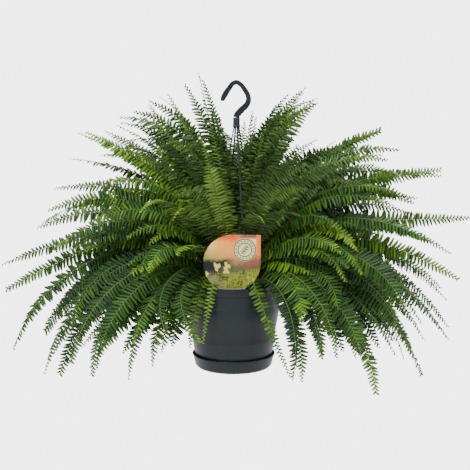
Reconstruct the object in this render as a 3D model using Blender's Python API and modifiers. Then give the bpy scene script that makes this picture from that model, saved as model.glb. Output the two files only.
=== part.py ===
"""A sword fern in a plastic hanging pot, with its saucer, hanger and plant label.

Heights below are measured up from the underside of the saucer, and distances out from the pot's axis.
Everything hangs from one empty, which puts the origin where the hook bears on whatever holds it.
Front is -Y. Azimuths are degrees round from the front towards +X.
"""

import math
from collections import namedtuple

import bmesh
import bpy
from mathutils import Matrix, Vector

# All sizes are in metres and all angles in degrees.
FIT_GAP = 0.0003  # air left between pieces that touch
ROUND_STEPS = 48  # sides of a turned piece
MERGE_DISTANCE = 0.00001  # points this close are one

# Saucer
SAUCER_ROOM = 0.0045  # between the pot's foot and the saucer's wall
SAUCER_FLARE = 0.008  # how far the saucer widens from its floor to its edge
SAUCER_HEIGHT = 0.029
SAUCER_WALL = 0.0018
SAUCER_LIP = 0.0014  # how far the top edge is thickened outwards
SEAT_HEIGHT = 0.0022  # ring on the saucer's floor that the pot stands on
SEAT_INSET = 0.009  # of that ring inside the pot's foot
SEAT_WIDTH = 0.003
SAUCER_EDGE = 0.003  # depth of the thickened edge
FOOT_ROUND = 0.003  # of the pot's and the saucer's lower corners

# Pot
POT_HEIGHT = 0.1815
POT_FOOT_RADIUS = 0.076
POT_WAIST_RADIUS = 0.0895
POT_WAIST_HEIGHT = 0.060  # above the pot's own foot
POT_COLLAR_RADIUS = 0.0985
COLLAR_STEP = 0.0007  # from the belly out to the collar
COLLAR_EDGE = 0.0006  # height over which that step is made
RIM_STEP = 0.003  # from the collar out to the rim band
POT_WALL = 0.0018
RIM_BAND_HEIGHT = 0.0155
COLLAR_HEIGHT = 0.029  # plain band between the belly and the rim band
BELLY_DROP = 0.006  # widest part of the belly below the collar
BELLY_STEPS = 5
RIM_ROUND = 0.001
DRAIN_HOLES = 6
DRAIN_RADIUS = 0.005
DRAIN_CIRCLE_RADIUS = 0.042
DRAIN_TURN = 4  # azimuth of the first hole
DRAIN_STEPS = 12

# Potting mix and root crown
SOIL_BELOW_RIM = 0.013
CROWN_RADIUS = 0.068
CROWN_HEIGHT = 0.008
CROWN_EDGE = 0.003  # thickness of the mound at its rim
CROWN_STEPS = 5

# Hanger
STRANDS = 4
FIRST_STRAND_AZIMUTH = 20
STRAND_RADIUS = 0.0013
STRAND_SAG = 0.012  # how far a strand hangs inside a straight line
HANGER_LEAN = 0.006  # the collar and hook hang this far to +X of the pot's axis
HANGER_RISE = 0.3252  # from the pot's rim to the collar
HANGER_COLLAR_LENGTH = 0.020
HANGER_COLLAR_RADIUS = 0.0082
STRAND_TOP_CIRCLE = 0.0052
HOOK_RADIUS = 0.0052
HOOK_RISE = 0.068  # from the collar to the underside of the bend, where it bears
HOOK_STEPS = 3  # from one point of its route to the next
STRAND_STEPS = 8
COLLAR_LIP = 0.0014
CLIP_WIDTH = 0.008
CLIP_THICKNESS = 0.0034
CLIP_HEIGHT = 0.011
CLIP_BELOW_RIM = 0.001
TOOTH_WIDTH = 0.0056
TOOTH_HEIGHT = 0.0036

# The hook's centreline after its neck: across from the hanger's axis, height above the point where the
# hook bears, and thickness as a share of the hook's own.
HOOK_ROUTE = (
    (0.0045, -0.060, 1.15),
    (0.0135, -0.050, 1.22),
    (0.0215, -0.0415, 1.15),
    (0.0250, -0.0325, 1.08),
    (0.0240, -0.0230, 1.02),
    (0.0165, -0.0095, 0.96),
    (0.0075, 0.0012, 0.92),
    (0.0, 0.0048, 0.92),
    (-0.0075, 0.0020, 0.94),
    (-0.0150, -0.0075, 1.02),
    (-0.0245, -0.0220, 1.12),
    (-0.0285, -0.0310, 0.95),
    (-0.0288, -0.0340, 0.70),
)

# Label
LABEL_RADIUS = 0.059
LABEL_X = -0.0035
LABEL_TO_WALL = 0.0008  # between the corners of the card's neck and the pot's wall
LABEL_THICKNESS = 0.0009
LABEL_TO_CLIP = 0.0035  # between the card's neck and the nearest clip
LABEL_NECK_LENGTH = 0.0098
LABEL_TONGUE_WIDTH = 0.024
LABEL_TONGUE_DEPTH = 0.030  # below the soil
LABEL_SHOULDER = 0.004  # underside of the card above the soil
LABEL_ARC_STEPS = 20

# Fronds
FROND_SEGMENTS = 9
FROND_THICKNESS = 0.0022
STIPE_WIDTH = 0.0034
BASE_INSET = 0.006  # of the flattest fronds inside the crown's edge
HANDLE_SHARE = 0.42  # stiffness of the arch, as a share of the straight line from base to tip
STIPE_SHARE = 0.08  # bare share of the midrib
FULL_SHARE = 0.48  # where the blade reaches its full width
TAPER_SHARE = 0.55  # last share of the blade, which narrows
TIP_SHARE = 0.12
TANGENT_STEP = 0.01  # share of a midrib over which its direction is taken

Frond = namedtuple("Frond", "azimuth reach tip launch tip_slope width twist sweep")

# Azimuth it leaves the crown at, reach of the tip from the axis, height of the tip above the pot's rim,
# slope as it leaves the crown, slope at the tip, blade width, turn of the blade towards the front, and
# the azimuth it drifts by before the tip.
FRONDS = (
    # low ring, from the front round past the left
    Frond(-47, 0.235, -0.076, 50, -80, 0.046, 0, 30),
    Frond(-50, 0.260, -0.056, 60, -82, 0.046, 0, 19),
    Frond(-62, 0.370, -0.136, 34, -66, 0.050, 10, 14),
    Frond(-65, 0.395, -0.111, 48, -62, 0.044, 15, 12),
    Frond(-77, 0.430, -0.141, 42, -62, 0.054, 15, 17),
    Frond(-86, 0.370, -0.181, 36, -72, 0.048, 20, 8),
    Frond(-92, 0.465, -0.116, 48, -66, 0.056, 20, 16),
    Frond(-97, 0.475, -0.011, 52, -28, 0.054, 25, 12),
    Frond(-104, 0.420, -0.126, 38, -60, 0.052, 15, 4),
    Frond(-120, 0.410, -0.096, 42, -50, 0.052, 0, 0),
    Frond(-134, 0.400, -0.136, 40, -62, 0.054, 0, 0),
    Frond(-150, 0.430, -0.106, 44, -58, 0.054, 0, 0),
    Frond(-168, 0.390, -0.136, 40, -64, 0.052, 0, 0),
    Frond(174, 0.430, -0.096, 44, -58, 0.054, 0, 0),
    Frond(157, 0.400, -0.136, 40, -62, 0.054, 0, 0),
    Frond(143, 0.430, -0.106, 46, -58, 0.054, 0, 0),
    Frond(130, 0.400, -0.136, 38, -60, 0.052, 0, 0),
    Frond(119, 0.420, -0.076, 46, -52, 0.054, 10, 0),
    Frond(104, 0.470, -0.111, 50, -56, 0.052, 15, -8),
    Frond(82, 0.455, -0.101, 48, -54, 0.052, 20, -6),
    Frond(93, 0.410, -0.211, 36, -70, 0.046, 15, 0),
    Frond(71, 0.400, -0.121, 36, -64, 0.052, 20, -7),
    Frond(56, 0.365, -0.176, 50, -74, 0.052, 10, -6),
    Frond(46, 0.270, -0.111, 44, -80, 0.050, 0, -6),
    Frond(36, 0.275, -0.141, 40, -76, 0.044, 0, -11),
    # middle ring
    Frond(-88, 0.485, 0.039, 58, -22, 0.054, 25, 0),
    Frond(-81, 0.385, 0.094, 62, -32, 0.050, 25, 13),
    Frond(-101, 0.420, 0.114, 60, -36, 0.052, 20, 0),
    Frond(-57, 0.245, 0.054, 66, -60, 0.046, 10, 8),
    Frond(-128, 0.390, 0.144, 60, -30, 0.050, 0, 0),
    Frond(-173, 0.400, 0.064, 60, -40, 0.052, 0, 0),
    Frond(166, 0.390, 0.114, 60, -36, 0.052, 0, 0),
    Frond(132, 0.400, 0.114, 60, -36, 0.052, 0, 0),
    Frond(101, 0.465, 0.224, 60, 4, 0.050, 20, 3),
    Frond(90, 0.500, 0.134, 56, 4, 0.054, 25, 0),
    Frond(74, 0.468, 0.029, 58, -30, 0.052, 25, 0),
    Frond(58, 0.320, 0.054, 62, -50, 0.050, 15, -6),
    # inner, steep
    Frond(-90, 0.315, 0.314, 72, 24, 0.050, 20, 6),
    Frond(-112, 0.190, 0.364, 78, 50, 0.048, 10, 0),
    Frond(-26, 0.080, 0.434, 86, 82, 0.036, 0, -34),
    Frond(-136, 0.240, 0.314, 76, 30, 0.048, 0, 0),
    Frond(150, 0.200, 0.344, 78, 44, 0.046, 0, 0),
    Frond(84, 0.300, 0.319, 72, 20, 0.050, 20, 0),
    Frond(62, 0.172, 0.386, 79, 16, 0.040, 10, 13),
    Frond(46, 0.220, 0.264, 74, 20, 0.046, 0, -6),
)

SAUCER_FLOOR = SAUCER_WALL
SAUCER_FOOT_RADIUS = POT_FOOT_RADIUS + SAUCER_ROOM
SAUCER_RADIUS = SAUCER_FOOT_RADIUS + SAUCER_FLARE
SEAT_RADIUS = POT_FOOT_RADIUS - SEAT_INSET
POT_BASE = SAUCER_FLOOR + SEAT_HEIGHT + FIT_GAP
POT_TOP = POT_BASE + POT_HEIGHT
RIM_BAND_FOOT = POT_TOP - RIM_BAND_HEIGHT
COLLAR_FOOT = RIM_BAND_FOOT - COLLAR_HEIGHT
SOIL_TOP = POT_TOP - SOIL_BELOW_RIM
CROWN_FOOT = SOIL_TOP + FIT_GAP
BELLY_RADIUS = POT_COLLAR_RADIUS - COLLAR_STEP
RIM_RADIUS = POT_COLLAR_RADIUS + RIM_STEP
MOUTH_RADIUS = POT_COLLAR_RADIUS - POT_WALL
MOUTH_FLAT = MOUTH_RADIUS * math.cos(math.pi / ROUND_STEPS)  # nearest the mouth's facets come to the axis
CLIP_BACK = math.sqrt((MOUTH_FLAT - FIT_GAP) ** 2 - (CLIP_WIDTH / 2) ** 2)
CLIP_DISTANCE = CLIP_BACK - CLIP_THICKNESS  # of the clip's inner face
CLIP_TOP = POT_TOP - CLIP_BELOW_RIM
HANGER_COLLAR_FOOT = POT_TOP + HANGER_RISE
HOOK_SEAT_HEIGHT = HANGER_COLLAR_FOOT + HANGER_COLLAR_LENGTH + HOOK_RISE
BASE_SPREAD = CROWN_RADIUS - BASE_INSET  # of the flattest fronds from the axis

first_turn = math.radians(FIRST_STRAND_AZIMUTH)
clip_side = CLIP_DISTANCE * math.sin(first_turn) - CLIP_WIDTH / 2 * math.cos(first_turn)
LABEL_NECK_HALF = clip_side - LABEL_TO_CLIP - LABEL_X
LABEL_REACH = MOUTH_FLAT - LABEL_TO_WALL
LABEL_DISTANCE = math.sqrt(LABEL_REACH**2 - (LABEL_NECK_HALF + abs(LABEL_X)) ** 2)
LABEL_FOOT = SOIL_TOP + LABEL_SHOULDER
LABEL_CENTRE_HEIGHT = LABEL_FOOT + LABEL_NECK_LENGTH + math.sqrt(LABEL_RADIUS**2 - LABEL_NECK_HALF**2)

for old in list(bpy.data.objects):
    bpy.data.objects.remove(old, do_unlink=True)

plant = bpy.data.collections.new("hanging_fern")
cutters = bpy.data.collections.new("cutters")
bpy.context.scene.collection.children.link(plant)
bpy.context.scene.collection.children.link(cutters)

hanging_point = bpy.data.objects.new("hanging_point", None)
hanging_point.empty_display_size = 0.03
hanging_point.location = (-HANGER_LEAN, 0, -HOOK_SEAT_HEIGHT)
plant.objects.link(hanging_point)


def finish(name, colour, roughness):
    """A Principled material of one colour."""
    material = bpy.data.materials.new(name)
    material.use_nodes = True
    shader = material.node_tree.nodes["Principled BSDF"]
    shader.inputs["Base Color"].default_value = (*colour, 1)
    shader.inputs["Roughness"].default_value = roughness
    shader.inputs["Metallic"].default_value = 0
    return material


def add_piece(name, data, material):
    """Puts an object in the plant's collection, hung from the one empty."""
    piece = bpy.data.objects.new(name, data)
    data.materials.append(material)
    plant.objects.link(piece)
    piece.parent = hanging_point
    return piece


def add_cutter(name, mesh, place=Matrix.Identity(4)):
    cutter = bpy.data.objects.new(name, mesh)
    cutters.objects.link(cutter)
    cutter.parent = hanging_point
    cutter.matrix_local = place
    cutter.hide_render = True
    cutter.display_type = "WIRE"
    return cutter


def cut(piece, cutter):
    boolean = piece.modifiers.new(cutter.name, "BOOLEAN")
    boolean.operation = "DIFFERENCE"
    boolean.object = cutter


def turned(name, profile, material):
    """Turns a profile of (radius, height) points, which runs down its outer side."""
    mesh = bpy.data.meshes.new(name)
    count = len(profile)
    closed = profile[0][0] > 0
    edges = [(i, (i + 1) % count) for i in range(count if closed else count - 1)]
    mesh.from_pydata([(radius, 0, height) for radius, height in profile], edges, [])
    piece = add_piece(name, mesh, material)
    screw = piece.modifiers.new("turn", "SCREW")
    screw.steps = ROUND_STEPS
    screw.render_steps = ROUND_STEPS
    screw.use_merge_vertices = True
    screw.merge_threshold = MERGE_DISTANCE
    screw.use_smooth_shade = False
    return piece


def box_mesh(name, low, high):
    mesh = bpy.data.meshes.new(name)
    bm = bmesh.new()
    bmesh.ops.create_cube(bm, size=1)
    low, high = Vector(low), Vector(high)
    for vert in bm.verts:
        vert.co = [(low[i] + high[i]) / 2 + vert.co[i] * (high[i] - low[i]) for i in range(3)]
    bm.to_mesh(mesh)
    bm.free()
    return mesh


def tube(name, points, radius, material, sides=2, shares=None):
    """A round bar with filled ends along a list of points, with its thickness at each as a share."""
    curve = bpy.data.curves.new(name, "CURVE")
    curve.dimensions = "3D"
    curve.bevel_depth = radius
    curve.bevel_resolution = sides
    curve.use_fill_caps = True
    spline = curve.splines.new("POLY")
    spline.points.add(len(points) - 1)
    for i, (spot, point) in enumerate(zip(spline.points, points)):
        spot.co = (*point, 1)
        spot.radius = shares[i] if shares else 1
    return add_piece(name, curve, material)


def around(azimuth, distance, height):
    """A point at an azimuth round the pot, a distance out from its axis, and a height."""
    angle = math.radians(azimuth)
    return Vector((distance * math.sin(angle), -distance * math.cos(angle), height))


def bezier(points, t):
    """A point on the cubic curve of four control points."""
    a, b, c, d = points
    s = 1 - t
    return a * s**3 + b * 3 * s * s * t + c * 3 * s * t * t + d * t**3


def pot_outside():
    """The pot's outer wall below its rim band, as (radius, height), from the collar down to the foot."""
    belly = COLLAR_FOOT - BELLY_DROP
    waist = POT_BASE + POT_WAIST_HEIGHT
    wall = [(POT_COLLAR_RADIUS, COLLAR_FOOT), (BELLY_RADIUS, COLLAR_FOOT - COLLAR_EDGE)]
    for i in range(BELLY_STEPS + 1):
        share = i / BELLY_STEPS
        swell = (1 + math.cos(math.pi * share)) / 2
        radius = POT_WAIST_RADIUS + (BELLY_RADIUS - POT_WAIST_RADIUS) * swell
        wall.append((radius, belly + (waist - belly) * share))
    return wall + [(POT_FOOT_RADIUS + FOOT_ROUND, POT_BASE + FOOT_ROUND), (POT_FOOT_RADIUS, POT_BASE)]


def pot_inside(gap=0):
    """The pot's inner wall from the mouth down, drawn in by a gap: the cavity that the mix fills."""
    below_collar = [point for point in pot_outside() if point[1] <= COLLAR_FOOT - BELLY_DROP]
    floor = POT_BASE + POT_WALL + gap
    wall = [(MOUTH_RADIUS - gap, POT_TOP), (MOUTH_RADIUS - gap, COLLAR_FOOT)]
    wall += [(radius - POT_WALL - gap, height) for radius, height in below_collar[:-2]]
    foot = POT_FOOT_RADIUS - POT_WALL - gap
    return wall + [(foot, floor + FOOT_ROUND), (foot - FOOT_ROUND, floor)]


def make_saucer(material):
    """A flared dish with a thickened edge and a ring for the pot to stand on."""
    mouth = SAUCER_RADIUS - SAUCER_LIP - SAUCER_WALL
    seat_in = SEAT_RADIUS - SEAT_WIDTH / 2
    seat_out = SEAT_RADIUS + SEAT_WIDTH / 2
    seat_top = SAUCER_FLOOR + SEAT_HEIGHT
    inside = [
        (0, SAUCER_FLOOR),
        (seat_in, SAUCER_FLOOR),
        (seat_in, seat_top),
        (seat_out, seat_top),
        (seat_out, SAUCER_FLOOR),
        (SAUCER_FOOT_RADIUS - FOOT_ROUND, SAUCER_FLOOR),
        (SAUCER_FOOT_RADIUS, SAUCER_FLOOR + FOOT_ROUND),
        (mouth, SAUCER_HEIGHT),
    ]
    outside = [
        (SAUCER_RADIUS, SAUCER_HEIGHT),
        (SAUCER_RADIUS, SAUCER_HEIGHT - SAUCER_EDGE),
        (mouth + SAUCER_WALL, SAUCER_HEIGHT - SAUCER_EDGE),
        (SAUCER_FOOT_RADIUS + SAUCER_WALL, SAUCER_FLOOR + FOOT_ROUND),
        (SAUCER_FOOT_RADIUS - FOOT_ROUND, 0),
        (0, 0),
    ]
    turned("saucer", inside + outside, material)


def make_pot(material):
    """The thin moulded pot, with drain holes and a slot under the rim for each clip of the hanger."""
    floor = (0, POT_BASE + POT_WALL)
    rim = [
        (RIM_RADIUS - RIM_ROUND, POT_TOP),
        (RIM_RADIUS, POT_TOP - RIM_ROUND),
        (RIM_RADIUS, RIM_BAND_FOOT),
        (POT_COLLAR_RADIUS, RIM_BAND_FOOT),
    ]
    pot = turned("pot", [floor] + pot_inside()[::-1] + rim + pot_outside() + [(0, POT_BASE)], material)
    for i in range(DRAIN_HOLES):
        mesh = bpy.data.meshes.new("drain")
        bm = bmesh.new()
        bmesh.ops.create_cone(
            bm,
            cap_ends=True,
            segments=DRAIN_STEPS,
            radius1=DRAIN_RADIUS,
            radius2=DRAIN_RADIUS,
            depth=4 * POT_WALL,
        )
        bm.to_mesh(mesh)
        bm.free()
        azimuth = 360 * i / DRAIN_HOLES + DRAIN_TURN
        centre = around(azimuth, DRAIN_CIRCLE_RADIUS, POT_BASE + POT_WALL / 2)
        cut(pot, add_cutter(f"drain_{i + 1}", mesh, Matrix.Translation(centre)))
    for i in range(STRANDS):
        low, high = tooth_box(FIT_GAP, RIM_RADIUS + POT_WALL)
        slot = add_cutter(f"clip_slot_{i + 1}", box_mesh("clip_slot", low, high), facing(strand_azimuth(i)))
        cut(pot, slot)


def make_filling(soil_material, crown_material):
    """Potting mix up to a little below the rim, and the low mound of root crown that the fronds leave."""
    wall = [point for point in pot_inside(FIT_GAP) if point[1] < SOIL_TOP]
    bottom = [(0, wall[-1][1])]
    top = [(0, SOIL_TOP), (MOUTH_RADIUS - FIT_GAP, SOIL_TOP)]
    mix = turned("potting_mix", top + wall + bottom, soil_material)
    slit = FIT_GAP + LABEL_THICKNESS / 2
    half = LABEL_TONGUE_WIDTH / 2 + FIT_GAP
    low = (LABEL_X - half, -LABEL_DISTANCE - slit, SOIL_TOP - LABEL_TONGUE_DEPTH - FIT_GAP)
    high = (LABEL_X + half, -LABEL_DISTANCE + slit, SOIL_TOP + LABEL_THICKNESS)
    cut(mix, add_cutter("label_slit", box_mesh("label_slit", low, high)))
    mound = []
    for i in range(CROWN_STEPS + 1):
        share = i / CROWN_STEPS
        mound.append((CROWN_RADIUS * math.sin(math.pi / 2 * share), CROWN_FOOT + crown_rise(share)))
    turned("root_crown", mound + [(0, CROWN_FOOT)], crown_material)


def crown_rise(share):
    """Height of the crown's mound above its foot, a share of a quarter turn out from the axis."""
    return CROWN_EDGE + (CROWN_HEIGHT - CROWN_EDGE) * math.cos(math.pi / 2 * share)


def strand_azimuth(i):
    return FIRST_STRAND_AZIMUTH + 360 * i / STRANDS


def facing(azimuth):
    """Turns a piece built towards the front round to an azimuth."""
    return Matrix.Rotation(math.radians(azimuth), 4, "Z")


def tooth_box(gap, reach):
    """Corners of a clip's tooth, built towards the front, with a gap on its sides, out to a reach."""
    middle = CLIP_TOP - CLIP_HEIGHT / 2
    low = (-TOOTH_WIDTH / 2 - gap, -reach, middle - TOOTH_HEIGHT / 2 - gap)
    high = (TOOTH_WIDTH / 2 + gap, -CLIP_DISTANCE - CLIP_THICKNESS / 2, middle + TOOTH_HEIGHT / 2 + gap)
    return low, high


def make_hanger(material):
    """Four strands from clips inside the rim up to a collar, with the hook above it."""
    top_centre = Vector((HANGER_LEAN, 0, HANGER_COLLAR_FOOT - 2 * FIT_GAP))
    for i in range(STRANDS):
        azimuth = strand_azimuth(i)
        low = (-CLIP_WIDTH / 2, -CLIP_DISTANCE - CLIP_THICKNESS, CLIP_TOP - CLIP_HEIGHT)
        high = (CLIP_WIDTH / 2, -CLIP_DISTANCE, CLIP_TOP)
        clip = add_piece(f"hanger_clip_{i + 1}", box_mesh("clip", low, high), material)
        clip.matrix_local = facing(azimuth)
        tooth_mesh = box_mesh("tooth", *tooth_box(0, POT_COLLAR_RADIUS))
        tooth = add_cutter(f"clip_tooth_{i + 1}", tooth_mesh, facing(azimuth))
        join = clip.modifiers.new("tooth", "BOOLEAN")
        join.operation = "UNION"
        join.object = tooth

        foot = around(azimuth, CLIP_DISTANCE + CLIP_THICKNESS / 2, CLIP_TOP + FIT_GAP + STRAND_RADIUS / 2)
        top = top_centre + around(azimuth, STRAND_TOP_CIRCLE, 0)
        sag = around(azimuth, STRAND_SAG, 0)
        handles = (foot, foot.lerp(top, 1 / 3) - sag, foot.lerp(top, 2 / 3) - sag, top)
        points = [bezier(handles, step / STRAND_STEPS) for step in range(STRAND_STEPS + 1)]
        tube(f"hanger_strand_{i + 1}", points, STRAND_RADIUS, material)

    collar = turned("hanger_collar", [
        (0, HANGER_COLLAR_LENGTH),
        (HOOK_RADIUS, HANGER_COLLAR_LENGTH),
        (HANGER_COLLAR_RADIUS - COLLAR_LIP, HANGER_COLLAR_LENGTH - COLLAR_LIP),
        (HANGER_COLLAR_RADIUS - COLLAR_LIP, 2 * COLLAR_LIP),
        (HANGER_COLLAR_RADIUS, 2 * COLLAR_LIP),
        (HANGER_COLLAR_RADIUS, 0),
        (0, 0),
    ], material)
    collar.location = (HANGER_LEAN, 0, HANGER_COLLAR_FOOT)
    points, shares = hook_route()
    tube("hanger_hook", points, HOOK_RADIUS, material, sides=3, shares=shares)


def hook_route():
    """Up from the collar, out to the hook's shoulder, over the bend and down to the open tip: points in the
    plane of the front and the thickness at each, on a smooth curve through the chosen ones."""
    foot = FIT_GAP - HOOK_RISE
    chosen = [Vector((0, foot, 1)), Vector((0, foot + HOOK_RADIUS / 2, 1))]
    chosen += [Vector(row) for row in HOOK_ROUTE]
    route = [chosen[0]]
    for i in range(1, len(chosen) - 1):
        last = chosen[min(i + 2, len(chosen) - 1)]
        lead = (chosen[i + 1] - chosen[i - 1]) / 6
        trail = (last - chosen[i]) / 6
        handles = (chosen[i], chosen[i] + lead, chosen[i + 1] - trail, chosen[i + 1])
        route += [bezier(handles, step / HOOK_STEPS) for step in range(HOOK_STEPS)]
    route.append(chosen[-1])
    points = [Vector((HANGER_LEAN + spot.x, 0, HOOK_SEAT_HEIGHT + spot.y)) for spot in route]
    return points, [spot.z for spot in route]


def make_label(material):
    """A flat die-cut card: round, but for one square corner, with a tongue that is pushed into the mix."""
    card = bpy.data.curves.new("plant_label", "CURVE")
    card.dimensions = "2D"
    card.fill_mode = "BOTH"
    card.extrude = LABEL_THICKNESS / 2
    neck = math.degrees(math.asin(LABEL_NECK_HALF / LABEL_RADIUS))
    outline = [Vector((LABEL_RADIUS, LABEL_RADIUS))]
    for i in range(LABEL_ARC_STEPS + 1):
        angle = math.radians(90 + (180 - neck) * i / LABEL_ARC_STEPS)
        outline.append(LABEL_RADIUS * Vector((math.cos(angle), math.sin(angle))))
    half = LABEL_TONGUE_WIDTH / 2
    shoulder = LABEL_FOOT - LABEL_CENTRE_HEIGHT
    tip = SOIL_TOP - LABEL_TONGUE_DEPTH - LABEL_CENTRE_HEIGHT
    outline += [Vector((-LABEL_NECK_HALF, shoulder)), Vector((-half, shoulder))]
    outline += [Vector((-half, tip + half)), Vector((0, tip)), Vector((half, tip + half))]
    outline += [Vector((half, shoulder)), Vector((LABEL_NECK_HALF, shoulder))]
    for i in range(LABEL_ARC_STEPS // 2 + 1):
        angle = math.radians(270 + neck + (90 - neck) * i / (LABEL_ARC_STEPS // 2))
        outline.append(LABEL_RADIUS * Vector((math.cos(angle), math.sin(angle))))
    spline = card.splines.new("POLY")
    spline.use_cyclic_u = True
    spline.points.add(len(outline) - 1)
    for spot, point in zip(spline.points, outline):
        spot.co = (point.x, point.y, 0, 1)
    label = add_piece("plant_label", card, material)
    stand = Matrix.Rotation(math.pi / 2, 4, "X")
    label.matrix_local = Matrix.Translation((LABEL_X, -LABEL_DISTANCE, LABEL_CENTRE_HEIGHT)) @ stand


def frond_frame(frond, u):
    """Midrib point, unit tangent, and unit sideways direction of a frond's blade, a share u from its base."""
    launch = math.radians(frond.launch)
    slope = math.radians(frond.tip_slope)
    out = BASE_SPREAD * math.cos(launch)
    lift = FIT_GAP + STIPE_WIDTH / 2
    base = Vector((out, CROWN_FOOT + crown_rise(math.asin(out / CROWN_RADIUS) / (math.pi / 2)) + lift))
    tip = Vector((frond.reach, POT_TOP + frond.tip))
    hold = HANDLE_SHARE * (tip - base).length
    handles = (
        base,
        base + hold * Vector((math.cos(launch), math.sin(launch))),
        tip - hold * Vector((math.cos(slope), math.sin(slope))),
        tip,
    )

    def place(share):
        flat = bezier(handles, share)
        return around(frond.azimuth + frond.sweep * share**2, flat.x, flat.y)

    tangent = (place(min(u + TANGENT_STEP, 1)) - place(max(u - TANGENT_STEP, 0))).normalized()
    azimuth = math.radians(frond.azimuth + frond.sweep * u)
    level = Vector((math.cos(azimuth), math.sin(azimuth), 0))
    level = (level - tangent * level.dot(tangent)).normalized()
    turn = math.radians(frond.twist) * math.copysign(1, frond.azimuth) * min(1, 2 * u)
    return place(u), tangent, Matrix.Rotation(turn, 3, tangent) @ level


def blade_width(frond, u):
    """A bare stipe, then a long even blade that narrows to its tip."""
    swell = min(1, max(0, (u - STIPE_SHARE) / (FULL_SHARE - STIPE_SHARE)))
    fade = min(1, (1 - u) / TAPER_SHARE)
    shape = math.sin(math.pi / 2 * swell) * (TIP_SHARE + (1 - TIP_SHARE) * math.sin(math.pi / 2 * fade))
    return STIPE_WIDTH + (frond.width - STIPE_WIDTH) * shape


def make_frond(number, frond, material):
    """One leaf: a thin strip as wide as its rows of leaflets, along an arching midrib."""
    mesh = bpy.data.meshes.new(f"frond_{number:02d}")
    bm = bmesh.new()
    bmesh.ops.create_grid(bm, x_segments=2, y_segments=FROND_SEGMENTS, size=1)
    for vert in bm.verts:
        u = (vert.co.y + 1) / 2
        middle, tangent, side = frond_frame(frond, u)
        vert.co = middle + side * (vert.co.x * blade_width(frond, u) / 2)
    bm.to_mesh(mesh)
    bm.free()
    strip = add_piece(mesh.name, mesh, material)
    thicken = strip.modifiers.new("thickness", "SOLIDIFY")
    thicken.thickness = FROND_THICKNESS
    thicken.offset = 0


dark_plastic = finish("dark_grey_plastic", (0.040, 0.045, 0.052), 0.45)
slate_plastic = finish("slate_grey_plastic", (0.055, 0.065, 0.075), 0.5)
make_saucer(dark_plastic)
make_pot(dark_plastic)
soil = finish("potting_mix", (0.045, 0.032, 0.022), 0.95)
make_filling(soil, finish("root_crown", (0.12, 0.08, 0.04), 0.9))
make_hanger(slate_plastic)
make_label(finish("printed_card", (0.75, 0.48, 0.28), 0.4))
leaf = finish("fern_leaf", (0.07, 0.17, 0.03), 0.5)
for number, frond in enumerate(FRONDS, 1):
    make_frond(number, frond, leaf)
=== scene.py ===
"""A potted sword fern in its hanging pot: the finished look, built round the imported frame.

All sizes are in metres. The origin is where the hook bears, +Z is up and -Y is the front.
"""

import math

import bmesh
import bpy
import numpy as np
from mathutils import Matrix, Vector


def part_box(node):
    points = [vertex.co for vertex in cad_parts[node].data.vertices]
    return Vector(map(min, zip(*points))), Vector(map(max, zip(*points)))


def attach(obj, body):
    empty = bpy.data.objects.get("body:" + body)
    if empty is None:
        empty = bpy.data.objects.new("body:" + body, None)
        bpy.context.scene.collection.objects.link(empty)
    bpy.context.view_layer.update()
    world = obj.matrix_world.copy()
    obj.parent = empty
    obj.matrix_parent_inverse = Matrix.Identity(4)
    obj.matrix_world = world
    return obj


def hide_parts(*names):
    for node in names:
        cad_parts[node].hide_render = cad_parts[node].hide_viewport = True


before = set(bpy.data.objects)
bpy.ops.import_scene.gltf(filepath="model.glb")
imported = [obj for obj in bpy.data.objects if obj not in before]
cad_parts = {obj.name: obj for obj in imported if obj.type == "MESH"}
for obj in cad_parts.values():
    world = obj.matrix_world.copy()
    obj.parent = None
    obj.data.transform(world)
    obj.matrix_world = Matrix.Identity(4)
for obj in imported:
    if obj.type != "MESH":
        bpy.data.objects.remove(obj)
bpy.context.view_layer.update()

# ----------------------------------------------------------------------
# The viewpoint: level with the fronds, a little above the rim, looking slightly down at the pot.
saucer_low, saucer_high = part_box("saucer")
AXIS_X = (saucer_low.x + saucer_high.x) / 2  # the pot's axis
FOOT_Z = saucer_low.z  # underside of the saucer
CAMERA_DISTANCE = 2.5
CAMERA_HEIGHT = 0.690  # above the saucer's underside
CAMERA_PITCH = 9.25  # degrees down
CAMERA_LENS = 91.7

camera = bpy.data.objects.new("camera", bpy.data.cameras.new("camera"))
camera.data.lens = CAMERA_LENS
camera.location = (AXIS_X + 0.003, -CAMERA_DISTANCE, FOOT_Z + CAMERA_HEIGHT)
camera.rotation_euler = (math.radians(90 - CAMERA_PITCH), 0, 0)
bpy.context.scene.collection.objects.link(camera)
bpy.context.scene.camera = camera


# ----------------------------------------------------------------------
# Pot: a round-bellied hanging pot, injection moulded in charcoal plastic with a fine satin grain.
# A broad rim band stands proud of a plain collar, and six holes drain the floor.
TURN_STEPS = 144
SMALL_TURN_STEPS = 64
RIM_RADIUS = 0.1015
COLLAR_RADIUS = 0.0985
BELLY_RADIUS = 0.0978
WAIST_RADIUS = 0.0895
POT_FOOT_RADIUS = 0.076
POT_WALL = 0.0018
RIM_BAND = 0.0155
COLLAR_BAND = 0.029
WAIST_HEIGHT = 0.060  # above the pot's foot
FOOT_CORNER = 0.003
MOULDED_EDGE = 0.0011  # how far the edges are rounded
BELLY_STEPS = 18
DRAIN_HOLES = 6
DRAIN_CIRCLE = 0.042
DRAIN_RADIUS = 0.005
STRAPS = 4
FIRST_STRAP = 20  # degrees round from the front
CLIP_SLOT = (0.0062, 0.016, 0.0042)
CLIP_SLOT_DROP = 0.0065  # below the rim
DUST = (0.07, 0.068, 0.06)
CHARCOAL = (0.0080, 0.0115, 0.0145)
CHARCOAL_WORN = (0.014, 0.018, 0.021)

pot_low, pot_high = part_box("pot")


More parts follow.
